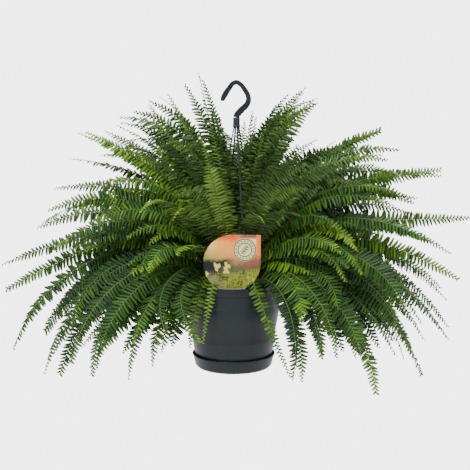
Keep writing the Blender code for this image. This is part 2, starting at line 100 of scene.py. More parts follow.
class Wire:
    """A value in a node tree, so that maths on it reads as arithmetic."""

    def __init__(self, tree, socket):
        self.tree = tree
        self.socket = socket

    def calculate(self, operation, *values):
        node = self.tree.nodes.new("ShaderNodeMath")
        node.operation = operation
        for socket, value in zip(node.inputs, values):
            if isinstance(value, Wire):
                self.tree.links.new(value.socket, socket)
            else:
                socket.default_value = value
        return Wire(self.tree, node.outputs[0])

    def __add__(self, other):
        return self.calculate("ADD", self, other)

    def __sub__(self, other):
        return self.calculate("SUBTRACT", self, other)

    def __rsub__(self, other):
        return self.calculate("SUBTRACT", other, self)

    def __mul__(self, other):
        return self.calculate("MULTIPLY", self, other)

    def __truediv__(self, other):
        return self.calculate("DIVIDE", self, other)

    def __pow__(self, other):
        return self.calculate("POWER", self, other)

    __radd__ = __add__
    __rmul__ = __mul__

    def other(self, name):
        """Another output of the same node."""
        return Wire(self.tree, self.socket.node.outputs[name])

    def size(self):
        return self.calculate("ABSOLUTE", self)

    def wave(self):
        return self.calculate("SINE", self)

    def clamped(self):
        return self.calculate("MINIMUM", self.calculate("MAXIMUM", self, 0.0), 1.0)

    def rise(self, low, high):
        """0 up to low, 1 from high on."""
        return ((self - low) / (high - low)).clamped()

    def within(self, reach, edge):
        """1 where the value is less than reach, fading out over an edge."""
        return 1 - self.rise(reach - edge, reach + edge)


class Nodes:
    """A node tree: one method adds any node and gives back its output."""

    def node(self, kind, settings=None, sockets=None, stops=None, out=0):
        node = self.tree.nodes.new(kind)
        for setting, value in (settings or {}).items():
            setattr(node, setting, value)
        if stops:
            ramp = node.color_ramp.elements
            while len(ramp) < len(stops):
                ramp.new(0.5)
            for element, (place, colour) in zip(ramp, stops):
                element.position = place
                element.color = (*colour, 1)
        for socket, value in (sockets or {}).items():
            self.plug(node.inputs[socket], value)
        return Wire(self.tree, node.outputs[out])

    def plug(self, socket, value):
        if isinstance(value, Wire):
            self.tree.links.new(value.socket, socket)
        elif isinstance(value, tuple) and len(socket.default_value) == 4:
            socket.default_value = (*value, 1)
        else:
            socket.default_value = value


class Finish(Nodes):
    """One material: its Principled shader, and the nodes that feed it."""

    def __init__(self, name, **sockets):
        self.material = bpy.data.materials.new(name)
        self.material.use_nodes = True
        self.tree = self.material.node_tree
        self.shader = self.tree.nodes["Principled BSDF"]
        for socket, value in sockets.items():
            self.give(socket.replace("_", " "), value)

    def give(self, name, value):
        self.plug(self.shader.inputs[name], value)

    def trait(self, name):
        return self.node("ShaderNodeAttribute", {"attribute_name": name}, out=2)

    def cover(self, share, other):
        """The whole shader going over to another one."""
        sockets = {0: share, 1: Wire(self.tree, self.shader.outputs[0]), 2: other}
        mixed = self.node("ShaderNodeMixShader", sockets=sockets)
        self.plug(self.tree.nodes["Material Output"].inputs["Surface"], mixed)

    def blend(self, first, second, share):
        """One colour going over to another."""
        sockets = {"Factor": share, 6: first, 7: second}
        return self.node("ShaderNodeMix", {"data_type": "RGBA"}, sockets, out=2)

    def axes(self):
        """Where on the piece: x, y and z."""
        where = self.node("ShaderNodeTexCoord", out=3)
        return [self.node("ShaderNodeSeparateXYZ", sockets={0: where}, out=i) for i in range(3)]

    def noise(self, scale, detail=2.0, roughness=0.5, stretch=(1, 1, 1)):
        where = self.node("ShaderNodeTexCoord", out=3)
        if stretch != (1, 1, 1):
            sockets = {0: where, 1: stretch}
            where = self.node("ShaderNodeVectorMath", {"operation": "MULTIPLY"}, sockets)
        sockets = {"Vector": where, "Scale": scale, "Detail": detail, "Roughness": roughness}
        return self.node("ShaderNodeTexNoise", sockets=sockets)

    def bump(self, height, strength, distance):
        sockets = {"Height": height, "Strength": strength, "Distance": distance}
        self.give("Normal", self.node("ShaderNodeBump", sockets=sockets))


def softened(profile, radius, steps=4):
    """A profile with each inner corner turned into a small curve."""
    soft = [profile[0]]
    for before, corner, after in zip(profile, profile[1:], profile[2:]):
        corner, before, after = Vector(corner), Vector(before), Vector(after)
        reach = min(radius, 0.45 * (before - corner).length, 0.45 * (after - corner).length)
        start = corner + (before - corner).normalized() * reach
        end = corner + (after - corner).normalized() * reach
        for i in range(steps + 1):
            t = i / steps
            soft.append(tuple(start * (1 - t) ** 2 + corner * 2 * t * (1 - t) + end * t**2))
    return soft + [profile[-1]]


def solid_of(name, bm):
    """A shape under way, made an object with a mesh of its own."""
    mesh = bpy.data.meshes.new(name)
    bm.to_mesh(mesh)
    bm.free()
    return bpy.data.objects.new(name, mesh)


def put(piece):
    bpy.context.scene.collection.objects.link(piece)
    return piece


def settled(piece):
    """The piece as its modifiers leave it, as a plain mesh."""
    ready = piece.evaluated_get(bpy.context.evaluated_depsgraph_get())
    mesh = bpy.data.meshes.new_from_object(ready)
    piece.modifiers.clear()
    piece.data = mesh
    return piece


def ring_at(bm, radius, height, steps, centre=(AXIS_X, 0)):
    """The corners of a level ring, or one point where it has no radius."""
    ring = []
    for i in range(steps if radius else 1):
        turn = 2 * math.pi * i / steps
        x, y = centre[0] + radius * math.cos(turn), centre[1] + radius * math.sin(turn)
        ring.append(bm.verts.new((x, y, height)))
    return ring if radius else ring * steps


def lathe(name, profile, finish, steps=TURN_STEPS, centre=(AXIS_X, 0)):
    """A closed turned piece from a profile of (radius, height) that starts and ends on its axis."""
    bm = bmesh.new()
    rounds = [ring_at(bm, radius, FOOT_Z + height, steps, centre) for radius, height in profile]
    for low, high in zip(rounds, rounds[1:]):
        for i in range(steps):
            j = (i + 1) % steps
            # the four corners, or three where the profile meets the axis
            bm.faces.new(list(dict.fromkeys((low[i], high[i], high[j], low[j]))))
    bmesh.ops.recalc_face_normals(bm, faces=bm.faces)
    for face in bm.faces:
        face.smooth = True
    piece = put(solid_of(name, bm))
    piece.data.set_sharp_from_angle(angle=math.radians(40))
    piece.data.materials.append(finish)
    return piece


def with_holes(piece, cutters):
    """The piece with each cutter taken out of it."""
    for cutter in cutters:
        hole = piece.modifiers.new("hole", "BOOLEAN")
        hole.operation = "DIFFERENCE"
        hole.object = put(cutter)
    settled(piece)
    for cutter in cutters:
        bpy.data.objects.remove(cutter, do_unlink=True)


def moulded_plastic(name, plain, worn):
    """Satin moulded plastic: a fine grain, faint flow marks, and a little dried-on dust."""
    plastic = Finish(name, Specular_IOR_Level=0.2)
    cloud = plastic.noise(28.0, 4.0, 0.6)
    streak = plastic.noise(60.0, 3.0, 0.6, stretch=(1, 1, 0.12))
    dust = plastic.noise(420.0, 3.0, 0.7)
    wear = (cloud.rise(0.35, 0.75) * 0.5 + streak.rise(0.45, 0.8) * 0.5).clamped()
    colour = plastic.blend(plain, worn, wear)
    dusty = dust.rise(0.60, 0.78) * cloud.rise(0.45, 0.7) * 0.35
    plastic.give("Base Color", plastic.blend(colour, DUST, dusty))
    plastic.give("Roughness", 0.34 + wear * 0.14 + dusty * 0.5)
    plastic.bump(plastic.noise(1500.0, 2.0, 0.5) * 0.6 + cloud * 0.4, 0.12, 0.0006)
    return plastic.material


pot_base = pot_low.z - FOOT_Z
pot_top = pot_high.z - FOOT_Z
band_foot = pot_top - RIM_BAND
collar_foot = band_foot - COLLAR_BAND
waist = pot_base + WAIST_HEIGHT
belly = collar_foot - 0.006
outer = [(COLLAR_RADIUS, collar_foot + 0.0004), (BELLY_RADIUS, collar_foot - 0.0008)]
for i in range(BELLY_STEPS + 1):
    share = i / BELLY_STEPS
    swell = (1 + math.cos(math.pi * share)) / 2
    radius = WAIST_RADIUS + (BELLY_RADIUS - WAIST_RADIUS) * swell
    outer.append((radius, belly + (waist - belly) * share))
inner = [(radius - POT_WALL, height) for radius, height in outer[2:]]
mouth = COLLAR_RADIUS - POT_WALL
foot_inside = POT_FOOT_RADIUS - POT_WALL
inner = [(mouth, pot_top), (mouth, collar_foot)] + inner + [
    (foot_inside, pot_base + POT_WALL + FOOT_CORNER),
    (foot_inside - FOOT_CORNER, pot_base + POT_WALL),
    (0, pot_base + POT_WALL),
]
rim = [(RIM_RADIUS, pot_top), (RIM_RADIUS, band_foot), (COLLAR_RADIUS, band_foot)]
foot = [
    (POT_FOOT_RADIUS + FOOT_CORNER, pot_base + FOOT_CORNER),
    (POT_FOOT_RADIUS, pot_base),
    (0, pot_base),
]

charcoal_plastic = moulded_plastic("charcoal_plastic", CHARCOAL, CHARCOAL_WORN)
profile = softened(inner[::-1] + rim + outer + foot, MOULDED_EDGE)
moulded_pot = lathe("moulded_pot", profile, charcoal_plastic)
cutters = []
for i in range(DRAIN_HOLES):
    bm = bmesh.new()
    reach = {"radius1": DRAIN_RADIUS, "radius2": DRAIN_RADIUS, "depth": 0.008}
    bmesh.ops.create_cone(bm, cap_ends=True, segments=24, **reach)
    azimuth = math.radians(360 / DRAIN_HOLES * i + 4)
    x, y = DRAIN_CIRCLE * math.sin(azimuth) + AXIS_X, -DRAIN_CIRCLE * math.cos(azimuth)
    bmesh.ops.translate(bm, verts=bm.verts, vec=(x, y, pot_low.z))
    cutters.append(solid_of("drain", bm))
for i in range(STRAPS):
    bm = bmesh.new()
    bmesh.ops.create_cube(bm, size=1)
    bmesh.ops.scale(bm, verts=bm.verts, vec=CLIP_SLOT)
    bmesh.ops.translate(bm, verts=bm.verts, vec=(0, -0.101, 0))
    turn = Matrix.Rotation(math.radians(FIRST_STRAP + 90 * i), 4, "Z")
    bmesh.ops.transform(bm, verts=bm.verts, matrix=turn)
    bmesh.ops.translate(bm, verts=bm.verts, vec=(AXIS_X, 0, pot_high.z - CLIP_SLOT_DROP))
    cutters.append(solid_of("clip_slot", bm))
with_holes(moulded_pot, cutters)
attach(moulded_pot, "root")
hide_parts("pot")


# ----------------------------------------------------------------------
# Saucer: a flared dish in the same plastic, with a thickened edge that catches the light, and a
# ring moulded in its floor that keeps the pot out of the water.
SAUCER_RADIUS = 0.0885
SAUCER_FOOT_RADIUS = 0.0805
SAUCER_WALL = 0.0018
SEAT_RADIUS = 0.067
SEAT_TOP = 0.0040
LIP = 0.003  # depth of the thickened edge

saucer_top = saucer_high.z - FOOT_Z
dish_mouth = SAUCER_RADIUS - 0.0032
dish = [
    (0, SAUCER_WALL),
    (SEAT_RADIUS - 0.0016, SAUCER_WALL),
    (SEAT_RADIUS - 0.0014, SEAT_TOP),
    (SEAT_RADIUS + 0.0014, SEAT_TOP),
    (SEAT_RADIUS + 0.0016, SAUCER_WALL),
    (SAUCER_FOOT_RADIUS - FOOT_CORNER, SAUCER_WALL),
    (SAUCER_FOOT_RADIUS, SAUCER_WALL + FOOT_CORNER),
    (dish_mouth, saucer_top),
    (SAUCER_RADIUS, saucer_top),
    (SAUCER_RADIUS, saucer_top - LIP),
    (dish_mouth + SAUCER_WALL, saucer_top - LIP),
    (SAUCER_FOOT_RADIUS + SAUCER_WALL, SAUCER_WALL + FOOT_CORNER),
    (SAUCER_FOOT_RADIUS - FOOT_CORNER, 0),
    (0, 0),
]
drip_saucer = lathe("drip_saucer", softened(dish, 0.0010), charcoal_plastic)
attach(drip_saucer, "root")
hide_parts("saucer")


# ----------------------------------------------------------------------
# Potting mix: dark peat and fine bark to just under the rim, with loose crumbs on its surface.
CRUMBS = 1100
CRUMB_RING = 0.066  # they lie outside the root crown
PEAT = (0.020, 0.013, 0.008)
BARK = (0.085, 0.050, 0.026)


class Branch(Nodes):
    """A geometry node tree with named inputs."""

    def __init__(self, name):
        self.tree = bpy.data.node_groups.new(name, "GeometryNodeTree")
        self.begin = self.tree.nodes.new("NodeGroupInput")
        self.end = self.tree.nodes.new("NodeGroupOutput")

    def input(self, name, kind, value=None):
        kind = "NodeSocket" + kind
        socket = self.tree.interface.new_socket(name, in_out="INPUT", socket_type=kind)
        if value is not None:
            socket.default_value = value
        return Wire(self.tree, self.begin.outputs[name])

    def scaled(self, vector, share):
        sockets = {0: vector, "Scale": share}
        return self.node("ShaderNodeVectorMath", {"operation": "SCALE"}, sockets)

    def chance(self, low, high, seed, kind="FLOAT"):
        out = {"FLOAT": 1, "FLOAT_VECTOR": 0}[kind]
        sockets = {"Min": low, "Max": high, "Seed": seed}
        return self.node("FunctionNodeRandomValue", {"data_type": kind}, sockets, out=out)

    def trait(self, name, kind="FLOAT"):
        return self.node("GeometryNodeInputNamedAttribute", {"data_type": kind}, {"Name": name})

    def store(self, geometry, name, value, kind="FLOAT", domain="POINT"):
        settings = {"data_type": kind, "domain": domain}
        sockets = {"Geometry": geometry, "Name": name, "Value": value}
        return self.node("GeometryNodeStoreNamedAttribute", settings, sockets)

    def turned(self, rotation, *angles):
        """A rotation, turned on by angles in its own axes."""
        if len(angles) > 1:
            angles = [self.node("ShaderNodeCombineXYZ", None, dict(enumerate(angles)))]
        local = self.node("FunctionNodeEulerToRotation", None, {0: angles[0]})
        sockets = {"Rotation": rotation, "Rotate By": local}
        return self.node("FunctionNodeRotateRotation", {"rotation_space": "LOCAL"}, sockets)

    def copies(self, points, shape, rotation, scale):
        sockets = {"Points": points, "Instance": shape, "Rotation": rotation, "Scale": scale}
        return self.node("GeometryNodeInstanceOnPoints", None, sockets)

    def realized(self, geometry):
        return self.node("GeometryNodeRealizeInstances", None, {"Geometry": geometry})

    def joined(self, *parts):
        join = self.tree.nodes.new("GeometryNodeJoinGeometry")
        for part in parts:
            self.plug(join.inputs[0], part)
        return Wire(self.tree, join.outputs[0])

    def finish(self, geometry, material):
        sockets = {"Geometry": self.realized(geometry), "Material": material}
        geometry = self.node("GeometryNodeSetMaterial", None, sockets)
        kind = "NodeSocketGeometry"
        self.tree.interface.new_socket("Geometry", in_out="OUTPUT", socket_type=kind)
        self.plug(self.end.inputs["Geometry"], geometry)
        return self.tree


def grow(piece, tree, inputs):
    """Runs a node tree on a piece and keeps what it makes as a plain mesh."""
    if piece.name not in bpy.context.scene.collection.objects:
        put(piece)
    growth = piece.modifiers.new(tree.name, "NODES")
    growth.node_group = tree
    for item in tree.interface.items_tree:
        if item.in_out == "INPUT" and item.name in inputs:
            growth[item.identifier] = inputs[item.name]
    return settled(piece)


def flat_ring(name, inside, outside, height, steps=48):
    """A flat ring for things to be strewn on."""
    bm = bmesh.new()
    inner, outer = (ring_at(bm, radius, height, steps) for radius in (inside, outside))
    for i in range(steps):
        j = (i + 1) % steps
        bm.faces.new((inner[i], outer[i], outer[j], inner[j]))
    bmesh.ops.recalc_face_normals(bm, faces=bm.faces)
    return solid_of(name, bm)


def crumb_tree():
    """Bits of peat of every size, most of them small, strewn over a surface."""
    strew = Branch("crumbs")
    ground = strew.input("Geometry", "Geometry")
    smallest = strew.input("Smallest", "Float", 0.0009)
    largest = strew.input("Largest", "Float", 0.0032)
    density = strew.input("Density", "Float", 40000.0)
    finish = strew.input("Material", "Material")
    sockets = {"Mesh": ground, "Density": density, "Seed": 5}
    points = strew.node("GeometryNodeDistributePointsOnFaces", None, sockets)
    crumb = strew.node("GeometryNodeMeshIcoSphere", None, {"Radius": 1.0, "Subdivisions": 1})
    turn = strew.chance((0, 0, 0), (6.28, 6.28, 6.28), 3, "FLOAT_VECTOR")
    shape = strew.chance((0.5, 0.4, 0.3), (1.3, 1.0, 0.6), 8, "FLOAT_VECTOR")
    sockets = {"Value": strew.chance(0.0, 1.0, 9) ** 2.5, "To Min": smallest, "To Max": largest}
    span = strew.node("ShaderNodeMapRange", None, sockets)
    crumbs = strew.copies(points, crumb, turn, strew.scaled(shape, span))
    crumbs = strew.store(crumbs, "tone", strew.chance(0.0, 1.0, 12), domain="INSTANCE")
    return strew.finish(crumbs, finish)


def peat_finish():
    """Nearly black peat, with paler fibres and bits of bark in it."""
    peat = Finish("damp_peat", Specular_IOR_Level=0.25)
    lumps, fibres = peat.noise(160.0, 5.0, 0.7), peat.noise(420.0, 4.0, 0.7, stretch=(1, 0.3, 1))
    bits = peat.trait("tone") * 0.6 * lumps.rise(0.3, 0.7)
    pale = (fibres.rise(0.55, 0.75) * 0.6 + bits).clamped()
    peat.give("Base Color", peat.blend(PEAT, BARK, pale))
    peat.give("Roughness", 0.80 + lumps * 0.18)
    peat.bump(lumps * 0.7 + fibres * 0.3, 0.9, 0.002)
    return peat.material


damp_peat = peat_finish()
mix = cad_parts["potting_mix"]
mix.data.materials.clear()
mix.data.materials.append(damp_peat)
mix_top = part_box("potting_mix")[1].z
ring_edge = mouth - 0.002
crumbs = flat_ring("peat_crumbs", CRUMB_RING, ring_edge, mix_top + 0.0002)
area = math.pi * (ring_edge**2 - CRUMB_RING**2)
grow(crumbs, crumb_tree(), {"Density": CRUMBS / area, "Material": damp_peat})
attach(crumbs, "root")


# ----------------------------------------------------------------------
# Root crown: the low mound that the fronds spring from, shaggy with papery brown scales that lean
# outwards all over it.
CROWN_RADIUS = 0.068
CROWN_RISE = 0.008
CROWN_EDGE = 0.003  # its height where it meets the mix
SCALES = 1500
SCALE_BROWN = (0.100, 0.050, 0.018)
ROOT_BROWN = (0.040, 0.024, 0.012)

crown_low, crown_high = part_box("root_crown")


def crown_finish():
    """Brown, fibrous and dry, with greener flecks where new growth pushes through."""
    crown = Finish("shaggy_crown", Specular_IOR_Level=0.3)
    fibres = crown.noise(300.0, 4.0, 0.7, stretch=(1, 1, 0.3))
    patches = crown.noise(55.0, 3.0, 0.6)
    dry = (fibres * 0.8 + crown.trait("tone") * 0.5).clamped()
    brown = crown.blend(ROOT_BROWN, SCALE_BROWN, dry)
    crown.give("Base Color", crown.blend(brown, (0.06, 0.10, 0.02), patches.rise(0.62, 0.75) * 0.5))
    crown.give("Roughness", 0.65 + fibres * 0.3)
    crown.bump(fibres, 0.8, 0.0015)
    return crown.material


def scale_tree():
    """Thin pointed scales that lean outwards all over the mound."""
    shag = Branch("scales")
    mound = shag.input("Geometry", "Geometry")
    density = shag.input("Density", "Float", 60000.0)
    length = shag.input("Length", "Float", 0.006)
    finish = shag.input("Material", "Material")
    sockets = {"Mesh": mound, "Density": density, "Seed": 2}
    points = shag.node("GeometryNodeDistributePointsOnFaces", None, sockets)
    sockets = {"Vertices": 4, "Radius Top": 0.0, "Radius Bottom": 0.09, "Depth": 1.0}
    blade = shag.node("GeometryNodeMeshCone", None, sockets)
    lean = shag.chance((-0.7, -0.7, -3.1), (0.7, 0.7, 3.1), 4, "FLOAT_VECTOR")
    size = shag.chance(0.5, 1.2, 6) * length
    scales = shag.copies(points, blade, shag.turned(points.other("Rotation"), lean), size)
    scales = shag.store(scales, "tone", shag.chance(0.0, 1.0, 7), domain="INSTANCE")
    return shag.finish(shag.joined(scales, mound), finish)


crown_foot = crown_low.z - FOOT_Z
mound = [(0, crown_foot + CROWN_RISE)]
for i in range(1, 13):
    turn = math.pi / 2 * i / 12
    lift = CROWN_EDGE + (CROWN_RISE - CROWN_EDGE) * math.cos(turn)
    mound.append((CROWN_RADIUS * math.sin(turn), crown_foot + lift))
shaggy_crown = crown_finish()
mound += [(CROWN_RADIUS, crown_foot), (0, crown_foot)]
crown_mound = lathe("crown_mound", mound, shaggy_crown, SMALL_TURN_STEPS)
area = math.pi * CROWN_RADIUS**2
grow(crown_mound, scale_tree(), {"Density": SCALES / area / 2, "Material": shaggy_crown})
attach(crown_mound, "root")
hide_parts("root_crown")


# ----------------------------------------------------------------------
# Hanger: one moulding in slate-grey plastic. Four straps clip inside the rim and rise to a collar,
# and the hook above it is a ribbed I-section: two flanges along a thin web, with crossed ribs.
HANGER_X = AXIS_X + 0.006
FERRULE_NECK = 0.0064
FERRULE_RADIUS = 0.0073
FERRULE_FOOT = 0.0082
HOOK_DEPTH = 0.0090
FLANGE = 0.0019
WEB = 0.0030
RIB_PITCH = 0.0062
STRAP_WIDTH = 0.0034
STRAP_THICKNESS = 0.0022
CLIP_CIRCLE = 0.0944
STRAP_CIRCLE = 0.0052  # where they meet under the ferrule
STRAP_SAG = 0.012
STRAP_STEPS = 32
SLATE = (0.020, 0.026, 0.030)
SLATE_WORN = (0.050, 0.060, 0.066)
# The hook's middle line: across from the hanger's axis, height above the bearing point and half
# thickness.
HOOK_LINE = (
    (0.0, -0.0676, 0.0066),
    (0.0006, -0.0640, 0.0066),
    (0.0048, -0.0585, 0.0067),
    (0.0135, -0.0495, 0.0065),
    (0.0215, -0.0415, 0.0060),
    (0.0250, -0.0325, 0.0056),
    (0.0240, -0.0230, 0.0053),
    (0.0165, -0.0095, 0.0050),
    (0.0075, 0.0012, 0.0048),
    (0.0, 0.0048, 0.0048),
    (-0.0075, 0.0020, 0.0049),
    (-0.0150, -0.0075, 0.0053),
    (-0.0245, -0.0220, 0.0058),
    (-0.0285, -0.0310, 0.0048),
    (-0.0289, -0.0342, 0.0034),
)

slate_plastic = moulded_plastic("slate_plastic", SLATE, SLATE_WORN)


def smooth_line(values, shares, wanted):
    """A smooth curve through rows of values at the given shares, read at the wanted shares."""
    slopes = np.gradient(values, shares, axis=0)
    place = np.clip(np.searchsorted(shares, wanted) - 1, 0, len(shares) - 2)
    low, high = shares[place], shares[place + 1]
    gap = (high - low)[:, None]
    t = ((wanted - low) / (high - low))[:, None]
    first, second = values[place], values[place + 1]
    return (
        first * (2 * t**3 - 3 * t**2 + 1)
        + slopes[place] * gap * (t**3 - 2 * t**2 + t)
        + second * (3 * t**2 - 2 * t**3)
        + slopes[place + 1] * gap * (t**3 - t**2)
    )


def swept(name, rings, finish, bevel):
    """A closed bar through rings of points, with its edges eased."""
    bm = bmesh.new()
    loops = [[bm.verts.new(point) for point in ring] for ring in rings]
    count = len(rings[0])
    for first, second in zip(loops, loops[1:]):
        for i in range(count):
            j = (i + 1) % count
            bm.faces.new((first[i], first[j], second[j], second[i]))
    bm.faces.new(loops[0][::-1])
    bm.faces.new(loops[-1])
    bmesh.ops.recalc_face_normals(bm, faces=bm.faces)
    for face in bm.faces:
        face.smooth = True
    piece = put(solid_of(name, bm))
    piece.data.materials.append(finish)
    ease = piece.modifiers.new("eased", "BEVEL")
    ease.width = bevel
    ease.segments = 2
    ease.limit_method = "ANGLE"
    ease.angle_limit = math.radians(50)
    settled(piece).data.set_sharp_from_angle(angle=math.radians(38))
    return piece


line = np.array(HOOK_LINE)
steps = np.concatenate([[0], np.cumsum(np.linalg.norm(np.diff(line[:, :2], axis=0), axis=1))])
wanted = np.linspace(0, 1, 90)
line = smooth_line(line, steps / steps[-1], wanted)
heading = np.gradient(line[:, :2], axis=0)
heading /= np.linalg.norm(heading, axis=1)[:, None]
rings = []
for (x, z, half), (dx, dz) in zip(line, heading):
    edge, face, web = half, half - FLANGE, WEB / 2
    deep = HOOK_DEPTH / 2
    section = [(edge, deep), (face, deep), (face, web), (-face, web), (-face, deep), (-edge, deep)]
    section += [(across, -depth) for across, depth in section[::-1]]
    x += HANGER_X
    rings.append([(x + across * dz, depth, z - across * dx) for across, depth in section])
ribbed_hook = swept("ribbed_hook", rings, slate_plastic, 0.0005)
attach(ribbed_hook, "root")
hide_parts("hanger_hook")


def rib_tree():
    """Crossed ribs between the hook's flanges, one pair for each point of its middle line."""
    brace = Branch("ribs")
    line = brace.input("Geometry", "Geometry")
    thick = brace.input("Thickness", "Float", 0.0009)
    deep = brace.input("Depth", "Float", 0.0072)
    finish = brace.input("Material", "Material")
    half, tilt = brace.trait("half"), brace.trait("tilt")
    bar = brace.node("GeometryNodeMeshCube", None, {"Size": (1.0, 1.0, 1.0)})
    points = brace.node("GeometryNodeMeshToPoints", {"mode": "VERTICES"}, {"Mesh": line})
    size = brace.node("ShaderNodeCombineXYZ", None, {0: half * 2.1, 1: deep, 2: thick})
    bars = []
    for lean in (-0.9, 0.9):
        turn = brace.node("ShaderNodeCombineXYZ", None, {1: tilt + lean})
        turn = brace.node("FunctionNodeEulerToRotation", None, {0: turn})
        bars.append(brace.copies(points, bar, turn, size))
    return brace.finish(brace.joined(*bars), finish)


length = steps[-1]
picks = np.linspace(5, 84, int(length / RIB_PITCH)).astype(int)
mesh = bpy.data.meshes.new("hook_ribs")
spots = [(HANGER_X + line[i][0], 0.0, line[i][1]) for i in picks]
mesh.from_pydata(spots, [(i, i + 1) for i in range(len(spots) - 1)], [])
halves = [float(line[i][2] - FLANGE) for i in picks]
tilts = [float(-math.atan2(heading[i][1], heading[i][0]) + math.pi / 2) for i in picks]
for trait, values in (("half", halves), ("tilt", tilts)):
    mesh.attributes.new(trait, "FLOAT", "POINT").data.foreach_set("value", values)
hook_ribs = grow(bpy.data.objects.new("hook_ribs", mesh), rib_tree(), {"Material": slate_plastic})
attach(hook_ribs, "root")

ferrule_low, ferrule_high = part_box("hanger_collar")
ferrule_foot, ferrule_top = ferrule_low.z - FOOT_Z, ferrule_high.z - FOOT_Z
ferrule = [
    (0, ferrule_top),
    (FERRULE_NECK, ferrule_top),
    (FERRULE_RADIUS, ferrule_top - 0.0022),
    (FERRULE_RADIUS, ferrule_foot + 0.0046),
    (FERRULE_FOOT, ferrule_foot + 0.0026),
    (FERRULE_FOOT, ferrule_foot),
    (0, ferrule_foot),
]
ferrule = softened(ferrule, 0.0006)
hanger_ferrule = lathe("hanger_ferrule", ferrule, slate_plastic, SMALL_TURN_STEPS, (HANGER_X, 0))
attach(hanger_ferrule, "root")
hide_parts("hanger_collar")

clip_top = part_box("hanger_clip_1")[1].z
for i in range(STRAPS):
    azimuth = math.radians(FIRST_STRAP + 90 * i)
    out = Vector((math.sin(azimuth), -math.cos(azimuth), 0))
    sideways = Vector((math.cos(azimuth), math.sin(azimuth), 0))
    start = Vector((AXIS_X, 0, clip_top + 0.0006)) + out * CLIP_CIRCLE
    end = Vector((HANGER_X, 0, ferrule_low.z + 0.001)) + out * STRAP_CIRCLE
    a, d = start, end
    b, c = (start.lerp(end, share) - out * STRAP_SAG for share in (1 / 3, 2 / 3))
    rings = []
    for k in range(STRAP_STEPS + 1):
        t = k / STRAP_STEPS
        s = 1 - t
        middle = a * s**3 + b * 3 * s * s * t + c * 3 * s * t * t + d * t**3
        along = ((b - a) * s * s + (c - b) * 2 * s * t + (d - c) * t * t).normalized()
        normal = along.cross(sideways).normalized()
        wide, thick = STRAP_WIDTH / 2, STRAP_THICKNESS / 2
        groove = ((wide * 0.4, thick), (0, thick * 0.5), (-wide * 0.4, thick))
        section = ((wide, thick), *groove, (-wide, thick), (-wide, -thick), (wide, -thick))
        rings.append([middle + sideways * x + normal * y for x, y in section])
    strap = swept(f"hanger_strap_{i + 1}", rings, slate_plastic, 0.0004)
    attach(strap, "root")
    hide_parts(f"hanger_strand_{i + 1}")
    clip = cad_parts[f"hanger_clip_{i + 1}"]
    clip.data.materials.clear()
    clip.data.materials.append(slate_plastic)


# ----------------------------------------------------------------------
# Label: a die-cut card pushed into the mix, printed with a sunset over shrubs, and with a round
# cream seal: a sprig inside two thin green rings.
CARD_RADIUS = 0.059
SEAL = (0.45, 0.48)  # its centre, in card radii
# Four pale leaves in the picture: across, up, size and slant.
PALE_LEAVES = (
    (-0.51, -0.12, 0.18, 0.5),
    (-0.18, -0.09, 0.16, 1.9),
    (-0.19, -0.27, 0.13, 3.4),
    (-0.86, -0.36, 0.10, 1.6),
)
CARD_X = AXIS_X - 0.0035

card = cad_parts["plant_label"]
card_low, card_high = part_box("plant_label")
CARD_Z = card_high.z - CARD_RADIUS


def polar(across, up):
    """How far a place is from the middle, and its angle round it."""
    return (across * across + up * up) ** 0.5, up.calculate("ARCTAN2", up, across)


